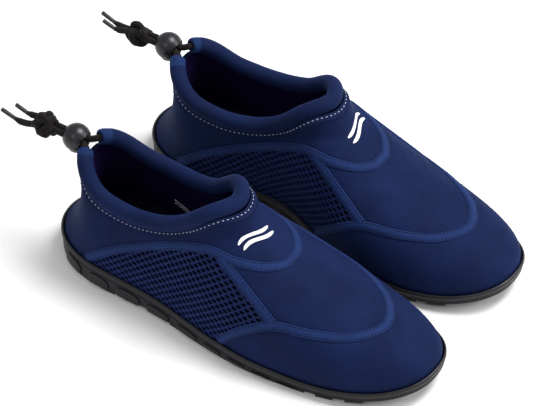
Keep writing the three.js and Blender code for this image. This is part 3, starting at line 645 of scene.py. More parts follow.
def plastic(name, color):
    """Satin plastic with faint swirls from use."""
    finish = Finish(name, 0.36, Specular_IOR_Level=0.45)
    finish.paint(finish.ramp(finish.noise(120.0), shades(color, 0.15)))
    finish.wear(finish.noise(500.0, 4.0), 0.30, 0.42)
    finish.bump(finish.noise(900.0), 0.00002)
    return finish.material


def wire(name):
    """Bright drawn steel."""
    finish = Finish(name, 0.3, Metallic=1.0)
    finish.paint(finish.ramp(finish.noise(900.0), shades((0.6, 0.6, 0.62), 0.1)))
    finish.bump(finish.noise(2500.0), 0.00001)
    return finish.material


# %% The finishes of this pair
NAVY = (0.0042, 0.0102, 0.046)
TAPE_BLUE = (0.0100, 0.0250, 0.102)
finishes = {
    "neoprene": knit("neoprene_face", NAVY),
    "collar": knit("collar_face", (0.0042, 0.0102, 0.045), sheen=0.08),
    "hem": knit("hem_face", (0.0085, 0.0230, 0.085), sheen=0.15),
    "inside": knit("inside_face", (0.0060, 0.0012, 0.026), sheen=0.03),
    "tape": ribbed("seam_tape", TAPE_BLUE, 0.0009),
    "net": ribbed("net_thread", (0.0088, 0.0170, 0.082), 0.0007),
    "net_lining": knit("net_lining", (0.0012, 0.0006, 0.005), sheen=0.0),
    "felt": knit("board_felt", (0.045, 0.045, 0.05), loop=900.0, sheen=0.2),
    "foam": knit("insole_cloth", (0.006, 0.005, 0.022), loop=1100.0, sheen=0.1),
    "cord": braid("cord_braid", (0.0040, 0.0030, 0.0026)),
    "rubber": rubber("sole_rubber", (0.0068, 0.0058, 0.0085)),
    "plastic": plastic("lock_plastic", (0.0045, 0.0038, 0.0075)),
    "steel": wire("spring_wire"),
    "dark_thread": ribbed("dark_thread", (0.0018, 0.002, 0.011), 0.0004),
    "white_thread": ribbed("white_thread", (0.55, 0.57, 0.62), 0.0004, change=0.1),
    "print": knit("printed_mark", (0.8, 0.8, 0.82), change=0.03, sheen=0.0),
}
print(len(finishes), "finishes")

# %% [markdown]
# ## Cords
# The drawcord leaves the collar at its two ends. The strands run side by side through the lock and the knot,
# part behind it and end in tips. Each strand is one tube on the same points as the model's cord.

# %% Routes of the cords
LEAD = [[18.1, 4.1, 84.5], [16.2, 2.9, 84.8], [14.2, 2.45, 84.8], [9, 2.4, 84.8], [-7.7, 2.4, 84.8]]
TAILS = {
    "outer": [[-23.9, -2.6, 81.9], [-29, -3.3, 80.7], [-34, -3.6, 80.2], [-38, -3.8, 80.9]],
    "inner": [[-24.3, 2.8, 84.5], [-28, 3.2, 83.4], [-33, 3.4, 82.8]],
}
AGLETS = {
    "outer": [[-38.6, -3.8, 81.1], [-48.9, -4.2, 84.5]],
    "inner": [[-33.6, 3.4, 82.9], [-42.6, 3.4, 85.8]],
}
KNOT_CENTRE = [-15.9, 0, 83.6]
AGLET_RADIUS = 1.5
AGLET_GRIP = 1.6         # the part of the tip that is pushed over the cord
GRIP_RINGS = (-0.36, -0.30, -0.24)
CORD_GAP = 0.3
CORD_TAPER, TAPERED_POINTS = 0.62, 6
ROUTE_POINTS = 90


def routed(rows):
    return np.array([place(s, x, z) for s, x, z in rows])


def strand_route(side):
    end, inner = (collar_path[-1], collar_path[-2]) if side == "outer" else (collar_path[0], collar_path[1])
    ahead = unit(end - inner)
    way = sides[side]
    lead = routed([[s, way * x, z] for s, x, z in LEAD])
    rows = np.vstack([end + ahead * CORD_GAP, end + ahead * (CORD_GAP + CORD / 3), lead, routed(TAILS[side])])
    return respaced(through(rows, np.linspace(0, 1, 400)), ROUTE_POINTS)


routes = {side: strand_route(side) for side in sides}

# %% Cords, tips and drawcord
for side, route in routes.items():
    tip = np.ones(len(route))
    tip[-TAPERED_POINTS:] = np.linspace(1, CORD_TAPER, TAPERED_POINTS)
    make_pair(tube(route, CORD / 2, "cord", 24, tip), f"cord_{side}",
              replaces=[f"cord_lead_{side}", f"cord_tail_{side}"])
make_pair(tube(collar_path, CORD / 2, "cord", 12), "drawcord_inside",
          replaces=["drawcord"])


def add_aglet(side):
    """A crimped plastic tip: a cylinder with rounded ends and a groove where it grips the cord."""
    start, stop = routed(AGLETS[side])
    start = start - unit(stop - start) * AGLET_GRIP
    length = float(np.linalg.norm(stop - start))
    tip = start_piece(bpy.ops.mesh.primitive_cylinder_add, vertices=24, radius=AGLET_RADIUS, depth=length)
    bpy.ops.object.mode_set(mode="EDIT")
    bm = bmesh.from_edit_mesh(tip.data)
    bpy.ops.mesh.select_all(action="DESELECT")
    for face in bm.faces:
        face.select = abs(face.normal.z) > 0.9
    bmesh.update_edit_mesh(tip.data)
    bpy.ops.mesh.bevel(offset=0.5, segments=4)
    for level in GRIP_RINGS:
        bpy.ops.mesh.select_all(action="SELECT")
        bpy.ops.mesh.bisect(plane_co=(0, 0, level * length), plane_no=(0, 0, 1))
    bm = bmesh.from_edit_mesh(tip.data)
    for vertex in bm.verts:
        if abs(vertex.co.z - GRIP_RINGS[1] * length) < 0.01:
            vertex.co.xy *= 0.86
    bmesh.update_edit_mesh(tip.data)
    bpy.ops.object.mode_set(mode="OBJECT")
    bpy.ops.object.shade_smooth_by_angle(angle=math.radians(40))
    turn = Vector(stop - start).to_track_quat("Z", "Y").to_matrix().to_4x4()
    tip.data.transform(Matrix.Translation((start + stop) / 2) @ turn)
    tip.data.materials.append(finishes["plastic"])
    make_pair(tip.data, f"tip_{side}", replaces=[f"aglet_{side}"])
    bpy.data.objects.remove(tip)


for side in sides:
    add_aglet(side)

# %% The knot
# The size, half-length, start, lean and roll of each loop of the knot
KNOT_LOOPS = ((4.4, 6.3, 0.0, 0, 10), (4.1, 6.5, 0.62, 55, 35), (3.8, 5.8, 0.3, -50, 80))


def knot_turns(size, lift, phase):
    """One strand's turns in the knot: a three-lobed loop round the cords."""
    t = np.linspace(0, 2 * np.pi, 180, endpoint=False) + phase
    radius = size + 2.3 * np.cos(3 * t)
    return np.stack([radius * np.cos(2 * t), lift * np.sin(3 * t), radius * np.sin(2 * t) * 0.85], -1)


def add_knot():
    middle = place(*KNOT_CENTRE)
    loops = []
    for size, lift, phase, lean, roll in KNOT_LOOPS:
        turn = Matrix.Rotation(math.radians(roll), 3, "Y") @ Matrix.Rotation(math.radians(lean), 3, "X")
        line = middle + knot_turns(size, lift, phase) @ np.array(turn).T
        ahead = tangents(line, closed=True)
        out = unit(line - middle)
        first = unit(out - ahead * np.sum(out * ahead, axis=1, keepdims=True))
        loops.append(sweep(line, first, np.cross(ahead, first), circle(CORD / 2 * 0.96, 18),
                           ["cord"], closed=True))
        print("knot loop", round(lengths_along(np.vstack([line, line[:1]]))[-1], 1), "mm")
    make_pair(joined(loops), "knot_turns", replaces=["knot"])


add_knot()

# %% [markdown]
# ## Cord lock
# The lock is a ball with a slot for both strands and a bore for its plunger, whose button faces the ground.
# Both are turned from primitives and cut with Boolean modifiers, as drilled parts are.

# %% Sizes of the lock and cutting helpers
LOCK_CENTRE = Vector(place(9, 0, 84.8))
LOCK_RADIUS = 9.5
PLUNGER_RADIUS = 5.7
PLUNGER_TRAVEL = 2.0
CLEARANCE = 0.3
SLOT_HALF = CORD / 2 + CLEARANCE
CORD_PITCH = CORD + 0.2
PLUNGER_TOP = SLOT_HALF + 1.45
SPRING_SEAT, SEAT_RADIUS, SEAT_DEPTH = 8.0, 2.95, 2.7
MOUTH_EXTRA, MOUTH_DEPTH = 2.25, 4.6


def cut(piece, cutter):
    """Cuts one object out of another and removes the cutter."""
    modifier = piece.modifiers.new("cut", "BOOLEAN")
    modifier.operation, modifier.object, modifier.solver = "DIFFERENCE", cutter, "EXACT"
    select_only(piece)
    bpy.ops.object.modifier_apply(modifier="cut")
    bpy.data.objects.remove(cutter)


def bevelled(piece, width, segments, angle):
    edge = piece.modifiers.new("edge", "BEVEL")
    edge.width, edge.segments, edge.limit_method = width, segments, "ANGLE"
    edge.angle_limit = math.radians(angle)
    bpy.ops.object.modifier_apply(modifier="edge")


def turned(radius, bottom, top, vertices):
    """A cylinder along Z between two heights."""
    return start_piece(bpy.ops.mesh.primitive_cylinder_add, vertices=vertices, radius=radius,
                       depth=top - bottom, location=(0, 0, (top + bottom) / 2))


def slot_cutter(half, length, from_y):
    """A slot along Y that is wide enough for two cords side by side."""
    slot = start_piece(bpy.ops.mesh.primitive_cylinder_add, vertices=48, radius=half, depth=length,
                       rotation=(math.pi / 2, 0, 0), location=(0, from_y + length / 2, 0))
    for vertex in slot.data.vertices:
        vertex.co.x += math.copysign(CORD_PITCH / 2, vertex.co.x) if abs(vertex.co.x) > 1e-4 else 0
    return slot


def finish_turned(piece, name, body, node):
    piece.data.transform(Matrix.Translation(LOCK_CENTRE))
    piece.data.materials.clear()
    piece.data.materials.append(finishes["plastic"])
    select_only(piece)
    bpy.ops.object.shade_smooth_by_angle(angle=math.radians(35))
    make_pair(piece.data, name, body=body, replaces=[node])
    bpy.data.objects.remove(piece)


# %% Ball and plunger
def add_ball():
    """A ball with a bore from below, a seat for the spring, a slot for the cords and a wider mouth."""
    ball = start_piece(bpy.ops.mesh.primitive_uv_sphere_add, segments=64, ring_count=40, radius=LOCK_RADIUS)
    reach = LOCK_RADIUS + 1
    cut(ball, turned(PLUNGER_RADIUS + CLEARANCE, -reach, PLUNGER_TOP + PLUNGER_TRAVEL + CLEARANCE, 64))
    cut(ball, turned(SEAT_RADIUS, SPRING_SEAT - SEAT_DEPTH, SPRING_SEAT, 40))
    cut(ball, slot_cutter(SLOT_HALF, 2 * reach, -reach))
    cut(ball, slot_cutter(SLOT_HALF + MOUTH_EXTRA, MOUTH_DEPTH, -reach))
    bevelled(ball, 0.35, 3, 40)
    finish_turned(ball, "ball", "lock", "lock_ball")


def add_plunger():
    """A stud with a window for the cords, which is longer than they are thick by the plunger's travel."""
    plunger = turned(PLUNGER_RADIUS, -LOCK_RADIUS + 0.4, PLUNGER_TOP, 64)
    opening = (2 * SLOT_HALF + CORD_PITCH, 2 * PLUNGER_RADIUS + 2, 2 * SLOT_HALF + PLUNGER_TRAVEL)
    window = start_piece(bpy.ops.mesh.primitive_cube_add, size=1, location=(0, 0, -PLUNGER_TRAVEL / 2),
                         scale=opening)
    cut(plunger, window)
    bevelled(plunger, 0.5, 4, 60)
    finish_turned(plunger, "plunger", "plunger", "lock_plunger")


add_ball()
add_plunger()

# %% Spring
SPRING_RADIUS, SPRING_WIRE, SPRING_END = 2.4, 0.5, 0.55


def add_spring():
    """A coil spring of even pitch, from the top of the plunger up to its seat in the ball."""
    turn = np.linspace(0, 5 * np.pi, 120)
    rise = np.linspace(PLUNGER_TOP + SPRING_END, SPRING_SEAT - SPRING_END, len(turn))
    line = np.stack([SPRING_RADIUS * np.cos(turn), SPRING_RADIUS * np.sin(turn), rise], -1)
    make_pair(tube(line + np.array(LOCK_CENTRE), SPRING_WIRE / 2, "steel", 10), "coil_spring",
              body="lock", replaces=["lock_spring"])
    for prefix, way in PREFIXES.items():
        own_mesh(pieces[f"{prefix}_coil_spring"])


add_spring()

# %% [markdown]
# ## Neoprene panels
# Each panel is foam faced with knit on both sides, about 3 mm thick. It is ruled between two seams on the
# last. Beside a seam the foam is pinched by its stitches, so the face dips there and swells again.

# %% Panel helpers
PINCH = 0.75
PINCH_REACH = 2.6


def near_seams(points):
    """How far each point lies from the nearest seam."""
    flat = points.reshape(-1, 3)
    nearest = np.full(len(flat), 1e9)
    for start in range(0, len(all_seams), 150):
        gap = np.linalg.norm(flat[:, None] - all_seams[None, start:start + 150], axis=2).min(1)
        nearest = np.minimum(nearest, gap)
    return nearest.reshape(points.shape[:-1])


def pinched(points, normals, lift=0.0):
    dip = PINCH * np.exp(-((near_seams(points) / PINCH_REACH) ** 2))
    return points + normals * (lift - dip)[..., None]


def panel_mesh(outer, normals, thickness, looks, closed=False):
    """A slab from a grid of outer points. The second look is on its inside."""
    rows, columns = outer.shape[:2]
    inner = outer - normals * thickness
    points = np.vstack([outer.reshape(-1, 3), inner.reshape(-1, 3)])
    half = rows * columns
    face = grid_faces(rows, columns, wrap_rows=closed)
    back = grid_faces(rows, columns, wrap_rows=closed, first=half)[:, ::-1]
    index = np.arange(half).reshape(rows, columns)
    edges = [index[:, 0], index[:, -1][::-1]]
    if not closed:
        edges += [index[-1], index[0][::-1]]
    walls = []
    for edge in edges:
        loop = np.append(edge, edge[0]) if closed else edge
        a, b = loop[:-1], loop[1:]
        walls.append(np.stack([b, a, a + half, b + half], -1))
    walls = np.vstack(walls)
    kinds = np.concatenate([np.zeros(len(face)), np.ones(len(back)), np.zeros(len(walls))])
    return new_mesh(points, np.vstack([face, back, walls]), looks, face_looks=kinds, angle=50)


def add_panel(outer, normals, name, nodes, closed=False):
    mesh = panel_mesh(outer, normals, NEOPRENE, ["neoprene", "inside"], closed)
    make_pair(mesh, name, replaces=nodes)


def ruled(lower, upper, rows):
    share = np.linspace(0, 1, rows)[None, :, None]
    return on_last(lower[:, None] * (1 - share) + upper[:, None] * share)


def over_ridge(outer, inner):
    """A line of the outer side, over the ridge and down the inner side."""
    return np.vstack([outer, inner[:-1][::-1]])


def across_both(part):
    return over_ridge(seams["outer"][part], seams["inner"][part])


# %% Vamp and toe guard
def add_vamp():
    grid = ruled(across_both("toe_front"), across_both("yoke_front"), 40)
    normals = normal_at(grid)
    add_panel(pinched(grid, normals), normals, "vamp_panel", ["vamp"])


def add_toe_guard():
    uppers, lowers = [], []
    for name, side in sides.items():
        seam = np.vstack([seams[name]["toe_rear"][:-1], seams[name]["toe_front"]])
        turn = (np.arange(100) + 0.3) / 99.3
        stations = TOE_START + (LENGTH - UPPER_INSET - TOE_START) * np.sin(turn * np.pi / 2)
        uppers.append(respaced(seam, 100))
        lowers.append(foot(stations, side))
    grid = ruled(over_ridge(*lowers), over_ridge(*uppers), 40)
    normals = normal_at(grid)
    add_panel(pinched(grid, normals), normals, "toe_guard_panel", ["toe_guard"])


add_vamp()
add_toe_guard()

# %% [markdown]
# ## Yoke
# One piece of neoprene goes round the heel and forward over the instep. Its top edge leaves the last to
# meet the collar, and a strip is sewn along that edge.

# %% Yoke surface
YOKE_COLUMNS = 170
YOKE_ROWS = 56
NOTCH_DEPTH, NOTCH_REACH = 1.0, 1.6
TOP_TUCK = 0.4
LEAVES_LAST = 0.55       # the share of the yoke's height where it leaves the last


def yoke_edge(name, side):
    """The yoke's lower edge from the ridge in front to the middle of the heel."""
    seam = np.vstack([seams[name]["yoke_front"][::-1], seams[name]["yoke_rear"][:-1][::-1]])
    seam = np.vstack([seam, foot(np.float64(YOKE_START), side)[None]])
    reach = HEEL_AT - UPPER_INSET
    turn = np.linspace(math.asin((HEEL_AT - YOKE_START) / reach), math.pi / 2, 60)[1:]
    return respaced(np.vstack([seam, foot(HEEL_AT - reach * np.sin(turn), side)]), YOKE_COLUMNS)


def yoke_top(share):
    """The yoke's upper edge: tucked under the collar, and lower between the collar's two ends."""
    point, out, down, rise = collar_at(share)
    from_heel = np.abs(np.mod(share, 1) - 0.5)
    drop = COLLAR_RADIUS - TOP_TUCK + NOTCH_DEPTH * smooth(1 - from_heel / (mouth * NOTCH_REACH))
    return on_last(point + down * drop[:, None]), rise


def yoke_grid():
    outer, inner = yoke_edge("outer", -1), yoke_edge("inner", 1)
    share = np.linspace(0, 0.5, YOKE_COLUMNS)
    lower = np.vstack([outer, inner[1:-1][::-1]])
    shares = np.concatenate([share, 1 - share[1:-1][::-1]])
    upper, rise = yoke_top(shares)
    grid = ruled(lower, upper, YOKE_ROWS)
    normals = normal_at(grid)
    lift = rise[:, None] * smooth((np.linspace(0, 1, YOKE_ROWS)[None] - LEAVES_LAST) / (1 - LEAVES_LAST))
    return grid + normals * lift[..., None], normals


yoke_points, yoke_normals = yoke_grid()
FACING_WIDTH, FACING_RAISE, FACING_EDGE = 6.5, 0.7, 0.9
WHITE_ROW, ROW_DIP, ROW_REACH = 1.9, 0.5, 0.7
yoke_down = np.linalg.norm(yoke_points - yoke_points[:, -1:], axis=2)
facing_step = FACING_RAISE * smooth((FACING_WIDTH - yoke_down) / FACING_EDGE)
stitch_dip = ROW_DIP * np.exp(-(((yoke_down - WHITE_ROW) / ROW_REACH) ** 2))
yoke_face = pinched(yoke_points, yoke_normals, facing_step - stitch_dip)
add_panel(yoke_face, yoke_normals, "yoke_panel", ["heel_yoke", "collar_facing"], closed=True)
yoke_tree = BVHTree.FromPolygons(
    yoke_face.reshape(-1, 3).tolist(),
    grid_faces(*yoke_face.shape[:2], wrap_rows=True).tolist())


def on_yoke(points, lift):
    """The nearest points of the yoke's face."""
    at = np.array([yoke_tree.find_nearest(Vector(p))[0] for p in points])
    return at + normal_at(at) * lift


# %% [markdown]
# ## Collar
# The collar is a padded tube of neoprene folded over the drawcord and hemmed at both ends. The tube is
# swept along the shoe's opening, a little narrower at its hems and ends. It isn't simulated as cloth: the
# tube is already full, and its shape is the swept one.

# %% Collar tube
COLLAR_SIDES = 30
HEM = 6.0
CHANNEL_RINGS = ((0.60, 0.25), (0.47, 1.2), (0.45, 5.0))    # scale and depth


def collar_frames():
    """The tube's two ways: out of the shoe and away from the yoke."""
    ahead = tangents(collar_path)
    out = unit(collar_out - ahead * np.sum(collar_out * ahead, axis=1, keepdims=True))
    return out, np.cross(ahead, out)


tube_out, tube_side = collar_frames()
collar_along = lengths_along(collar_path)


def collar_mesh():
    """The tube with rounded ends that turn back into the cord's channel."""
    distance = np.minimum(collar_along, collar_along[-1] - collar_along)
    size = 0.965 - 0.05 * np.exp(-((distance - HEM) / 0.8) ** 2) - 0.10 * np.exp(-(distance / 1.3) ** 2)
    ring = circle(COLLAR_RADIUS, COLLAR_SIDES)
    points = collar_path[:, None] + size[:, None, None] * (
        ring[None, :, :1] * tube_out[:, None] + ring[None, :, 1:] * tube_side[:, None])
    inlets = len(CHANNEL_RINGS)
    channel = []
    for end, way in ((0, 1), (-1, -1)):
        ahead = tangents(collar_path)[end] * way
        for scale, depth in CHANNEL_RINGS:
            channel.append(collar_path[end] + ahead * depth + scale * (
                ring[:, :1] * tube_out[end] + ring[:, 1:] * tube_side[end]))
    rings = np.concatenate([np.array(channel[:inlets])[::-1], points, np.array(channel[inlets:])])
    faces = grid_faces(len(rings), COLLAR_SIDES, wrap_columns=True).tolist()
    last = (len(rings) - 1) * COLLAR_SIDES
    faces += [list(range(COLLAR_SIDES))[::-1], [last + k for k in range(COLLAR_SIDES)]]
    row = np.arange(len(rings) - 1)
    in_hem = np.minimum(row - inlets, len(rings) - 1 - inlets - row) < np.searchsorted(collar_along, HEM)
    return new_mesh(rings.reshape(-1, 3), faces, ["collar", "hem"],
                    face_looks=[*np.repeat(in_hem, COLLAR_SIDES), 1, 1])


def add_collar():
    make_pair(collar_mesh(), "collar_tube", replaces=["collar"])
    for prefix in PREFIXES:
        piece = pieces[f"{prefix}_collar_tube"]
        finer = piece.modifiers.new("finer", "SUBSURF")
        finer.levels = finer.render_levels = 1


add_collar()

# %% [markdown]
# ## Side nets
# Each side panel is an open net over a dark knit. The net is real geometry: a six-sided mesh with a rounded
# thread round each hole, laid on the last by its distance above the rim so that the holes keep their size.

# %% Net
HOLE_PITCH = 6.0
HOLE_ROW = 2.7
HOLE_WIDTH = 3.5
HOLE_HEIGHT = 2.35
THREAD_DEPTH = 1.0
NET_START, NET_END, NET_STEP = 30, 200, 2.0
NET_FOOT, NET_TOP = -3, 62
SECTION_POINTS = 61


def height_tables(side, stations):
    """For each station, the degrees up from the rim at each length of its section."""
    degrees = np.linspace(0, 90, SECTION_POINTS)
    turns = np.tile(degrees, len(stations))
    grid = on_section(np.repeat(stations, SECTION_POINTS), turns, side).reshape(-1, SECTION_POINTS, 3)
    lengths = np.concatenate([np.zeros((len(stations), 1)),
                              np.cumsum(np.linalg.norm(np.diff(grid, axis=1), axis=2), axis=1)], 1)
    return degrees, lengths


def inside_outline(points, outline):
    x, y = points.T
    inside = np.zeros(len(points), bool)
    for (x1, y1), (x2, y2) in zip(outline, np.roll(outline, -1, 0)):
        if y1 == y2:
            continue
        inside ^= ((y1 > y) != (y2 > y)) & (x < (x2 - x1) * (y - y1) / (y2 - y1) + x1)
    return inside


class SideSheet:
    """The side of the last laid flat: stations along and lengths above the rim."""

    def __init__(self, side):
        self.side = side
        self.stations = np.arange(NET_START, NET_END, NET_STEP)
        self.degrees, self.lengths = height_tables(side, self.stations)

    def tables_at(self, s):
        column = np.clip((s - NET_START) / NET_STEP, 0, len(self.stations) - 1.001)
        i = column.astype(int)
        w = (column - i)[:, None]
        return self.lengths[i] * (1 - w) + self.lengths[i + 1] * w

    def to_last(self, flat):
        angle = np.array([np.interp(max(b, 0), row, self.degrees)
                          for b, row in zip(flat[:, 1], self.tables_at(flat[:, 0]))])
        at = on_section(flat[:, 0], angle, self.side)
        at[:, 2] += np.minimum(flat[:, 1], 0)
        return at

    def to_flat(self, points):
        s = HALF - points[:, 1]
        way = points - spine(s)
        angle = np.degrees(np.arctan2(np.maximum(way[:, 2], 0), np.abs(way[:, 0])))
        lengths = [np.interp(a, self.degrees, row) for a, row in zip(angle, self.tables_at(s))]
        return np.stack([s, lengths], -1)


def net_cells(name, sheet):
    """The middles of the holes that lie inside the panel's seams."""
    group = seams[name]
    outline = sheet.to_flat(np.vstack([group["yoke_rear"], group["vamp"], group["toe_rear"][::-1]]))
    outline[0, 1] = outline[-1, 1] = NET_FOOT
    cells = np.array([(a + (k % 2) * HOLE_PITCH / 2, b)
                      for k, b in enumerate(np.arange(NET_FOOT, NET_TOP, HOLE_ROW))
                      for a in np.arange(NET_START, NET_END, HOLE_PITCH)])
    return cells[inside_outline(cells, outline)]


def add_net(name, side):
    sheet = SideSheet(side)
    cells = net_cells(name, sheet)
    keys = {tuple(c) for c in cells.round(1).tolist()}
    corner = np.radians(np.arange(6) * 60 + 30)
    corners = np.stack([np.cos(corner) * HOLE_PITCH / math.sqrt(3), np.sin(corner) * HOLE_ROW / 1.5], -1)
    middles = (corners + np.roll(corners, -1, 0)) / 2
    frame_ring = np.stack([corners, middles], 1).reshape(-1, 2)
    turn = np.arctan2(frame_ring[:, 1] / HOLE_HEIGHT, frame_ring[:, 0] / HOLE_WIDTH)
    hole = np.stack([np.cos(turn) * HOLE_WIDTH / 2, np.sin(turn) * HOLE_HEIGHT / 2], -1)
    # From the middle of the thread, over its face, into the hole and out again behind it
    levels = ((frame_ring, -0.10), (frame_ring * 0.55 + hole * 0.45, 0.12),
              (frame_ring * 0.15 + hole * 0.85, -0.12), (hole, -0.45), (hole * 1.04, -THREAD_DEPTH),
              (frame_ring, -THREAD_DEPTH))
    round_hole = len(frame_ring)
    each = round_hole * len(levels)
    flat = np.stack([cells[:, None] + ring[None] for ring, _ in levels], 1).reshape(-1, 2)
    at = sheet.to_last(flat)
    depth = np.tile(np.repeat([level for _, level in levels], round_hole), len(cells))
    points = at + normal_at(at) * depth[:, None]
    one = grid_faces(len(levels), round_hole, wrap_columns=True)
    faces = [(one[None] + np.arange(len(cells))[:, None, None] * each).reshape(-1, 4)]
    walls = []
    for number, cell in enumerate(cells):
        first = number * each
        bottom = first + each - round_hole
        for k in range(6):
            across = cell + (corners[k] + corners[(k + 1) % 6])
            if tuple(across.round(1).tolist()) in keys:
                continue
            for a, b in ((2 * k, 2 * k + 1), (2 * k + 1, (2 * k + 2) % round_hole)):
                walls.append([first + b, first + a, bottom + a, bottom + b])
    mesh = new_mesh(points, np.vstack([*faces, walls]), ["net"], flat)
    face_out(mesh, merge=0.02)
    make_pair(mesh, f"net_{name}_mesh", replaces=[f"net_{name}"])
    print(name, "net has", len(cells), "holes")


def add_net_backing(name, side):
    """The dark knit behind a net."""
    seam = respaced(np.vstack([seams[name]["yoke_rear"], seams[name]["vamp"]]), 120)
    feet = foot(np.linspace(YOKE_START + 2, TOE_START, 85), side)
    lower = respaced(np.vstack([feet, seams[name]["toe_rear"][1:]]), 120)
    grid = ruled(lower, seam, 16)
    normals = normal_at(grid)
    mesh = panel_mesh(grid - normals * 1.5, normals, 1.2, ["net_lining", "inside"])
    make_pair(mesh, f"net_backing_{name}", replaces=[f"net_lining_{name}"])


for name, side in sides.items():
    add_net(name, side)
    add_net_backing(name, side)

# %% [markdown]
# ## Stitches
# A stitch is one small rounded bead of thread. It is modelled once and copied along every seam.

# %% One stitch and how it is copied
def stitch_template():
    bead = start_piece(bpy.ops.mesh.primitive_uv_sphere_add, segments=6, ring_count=4, radius=1)
    bpy.ops.object.mode_set(mode="EDIT")
    bpy.ops.mesh.select_all(action="SELECT")
    bpy.ops.transform.resize(value=(0.34, 0.34, 0.95))
    bpy.ops.object.mode_set(mode="OBJECT")
    return taken_apart(bead)


stitch_points, stitch_faces = stitch_template()


def stitched(at, ahead, out, look, size):
    """Copies of the stitch at points, each lying along its way."""
    side = unit(np.cross(out, ahead))
    ahead = unit(np.cross(side, out))
    local = stitch_points * size * np.array([1, 0.8, 1])
    points = (at[:, None] + local[None, :, :1] * side[:, None] + local[None, :, 1:2] * out[:, None]
              + local[None, :, 2:] * ahead[:, None])
    return copied(points, stitch_faces, [look])


# %% [markdown]
# ## Seam tapes
# Bright tapes cover the seams. Each is a flat knitted tape, sewn down by two rows of dark stitches, so it is
# crowned in the middle and pinched along the rows. One runs over each seam that crosses the shoe.

# %% Tapes
TAPE_PROFILE = [(-3.1, -0.55), (3.1, -0.55), (3.15, 0.1), (2.9, 0.55), (2.5, 0.72), (2.1, 0.58), (1.7, 0.80),
                (0.9, 0.98), (0, 1.04), (-0.9, 0.98), (-1.7, 0.80), (-2.1, 0.58), (-2.5, 0.72), (-2.9, 0.55),
                (-3.15, 0.1)]
STITCH_PITCH = 2.5
STITCH_ROW, STITCH_RAISE = 2.1, 0.62    # from the tape's middle and above the last
RIM_GAP = 0.6


def tape(line, name, node):
    """A tape along a line of the last, with its two rows of stitches."""
    line = respaced(line, int(lengths_along(line)[-1] / 1.5) + 2)
    out = normal_at(line)
    ahead = tangents(line)
    side = unit(np.cross(out, ahead))
    make_pair(sweep(line, side, out, TAPE_PROFILE, ["tape"], angle=50), name,
              replaces=[node])
    length = lengths_along(line)[-1]
    rows = []
    for across in (-STITCH_ROW, STITCH_ROW):
        start = 1.0 if across < 0 else 1.0 + STITCH_PITCH / 2
        at = respaced(line, int(length / STITCH_PITCH), start, length - 1.0)
        up = normal_at(at)
        way = tangents(at)
        spot = at + unit(np.cross(up, way)) * across + up * STITCH_RAISE
        rows.append(stitched(spot, way, up, "dark_thread", 0.95))
    make_pair(joined(rows), f"{name}_stitches")


def crossing(rear, front):
    """A seam from the rim over the instep and down the other side, clear of the rim."""
    line = over_ridge(*(np.vstack([seams[side][rear][:-1], seams[side][front]]) for side in sides))
    return line[line[:, 2] > rim(HALF - line[:, 1]) + RIM_GAP]


def between_tapes(line, start, stop):
    return respaced(line, 60, start, lengths_along(line)[-1] - stop)


tape(crossing("yoke_rear", "yoke_front"), "yoke_tape", "yoke_binding")
tape(crossing("toe_rear", "toe_front"), "toe_tape", "toe_binding")
for name in sides:
    tape(between_tapes(seams[name]["vamp"], 3.0, 2.2), f"vamp_tape_{name}", f"vamp_binding_{name}")

# %% [markdown]
# ## Stitching round the collar
# A white thread runs close under the collar and a dark row holds the lower edge of the facing strip.

# %% Stitch rows of the yoke
def yoke_row(down, look, name, pitch):
    """Stitches on the yoke, a distance below its top edge."""
    face = np.array([[np.interp(down, row_down[::-1], row[::-1, k]) for k in range(3)]
                     for row, row_down in zip(yoke_face, yoke_down)])
    closed = np.vstack([face, face[:1]])
    at = respaced(closed, int(lengths_along(closed)[-1] / pitch))
    up = normal_at(on_last(at))
    make_pair(stitched(at + up * 0.12, tangents(at), up, look, 0.8), name)


yoke_row(WHITE_ROW, "white_thread", "collar_stitches", 3.2)
yoke_row(FACING_WIDTH - 1.0, "dark_thread", "facing_stitches", 2.4)

# %% [markdown]
# ## Sole
# The outsole is a moulded rubber cup. Its outline is one ring of points, extruded upwards ring by ring to
# form the groove lines, the bead and the raised rim, then down inside the rim.

# %% Ring of the sole's outline
RING_HALF = 130


def outline_ring(inset, height):
    share = (1 - np.cos(np.pi * np.arange(RING_HALF + 1) / RING_HALF)) / 2
    s = inset + (LENGTH - 2 * inset) * share
    outer = place(s, centre(s) - half_width(s, inset), height(s))
    inner = place(s, centre(s) + half_width(s, inset), height(s))
    return np.vstack([outer, inner[1:-1][::-1]])


def edited(body):
    """The edit mesh of a body, with the layer that holds each point's place in its ring."""
    bm = bmesh.from_edit_mesh(body.data)
    return bm, bm.verts.layers.int.get("order") or bm.verts.layers.int.new("order")


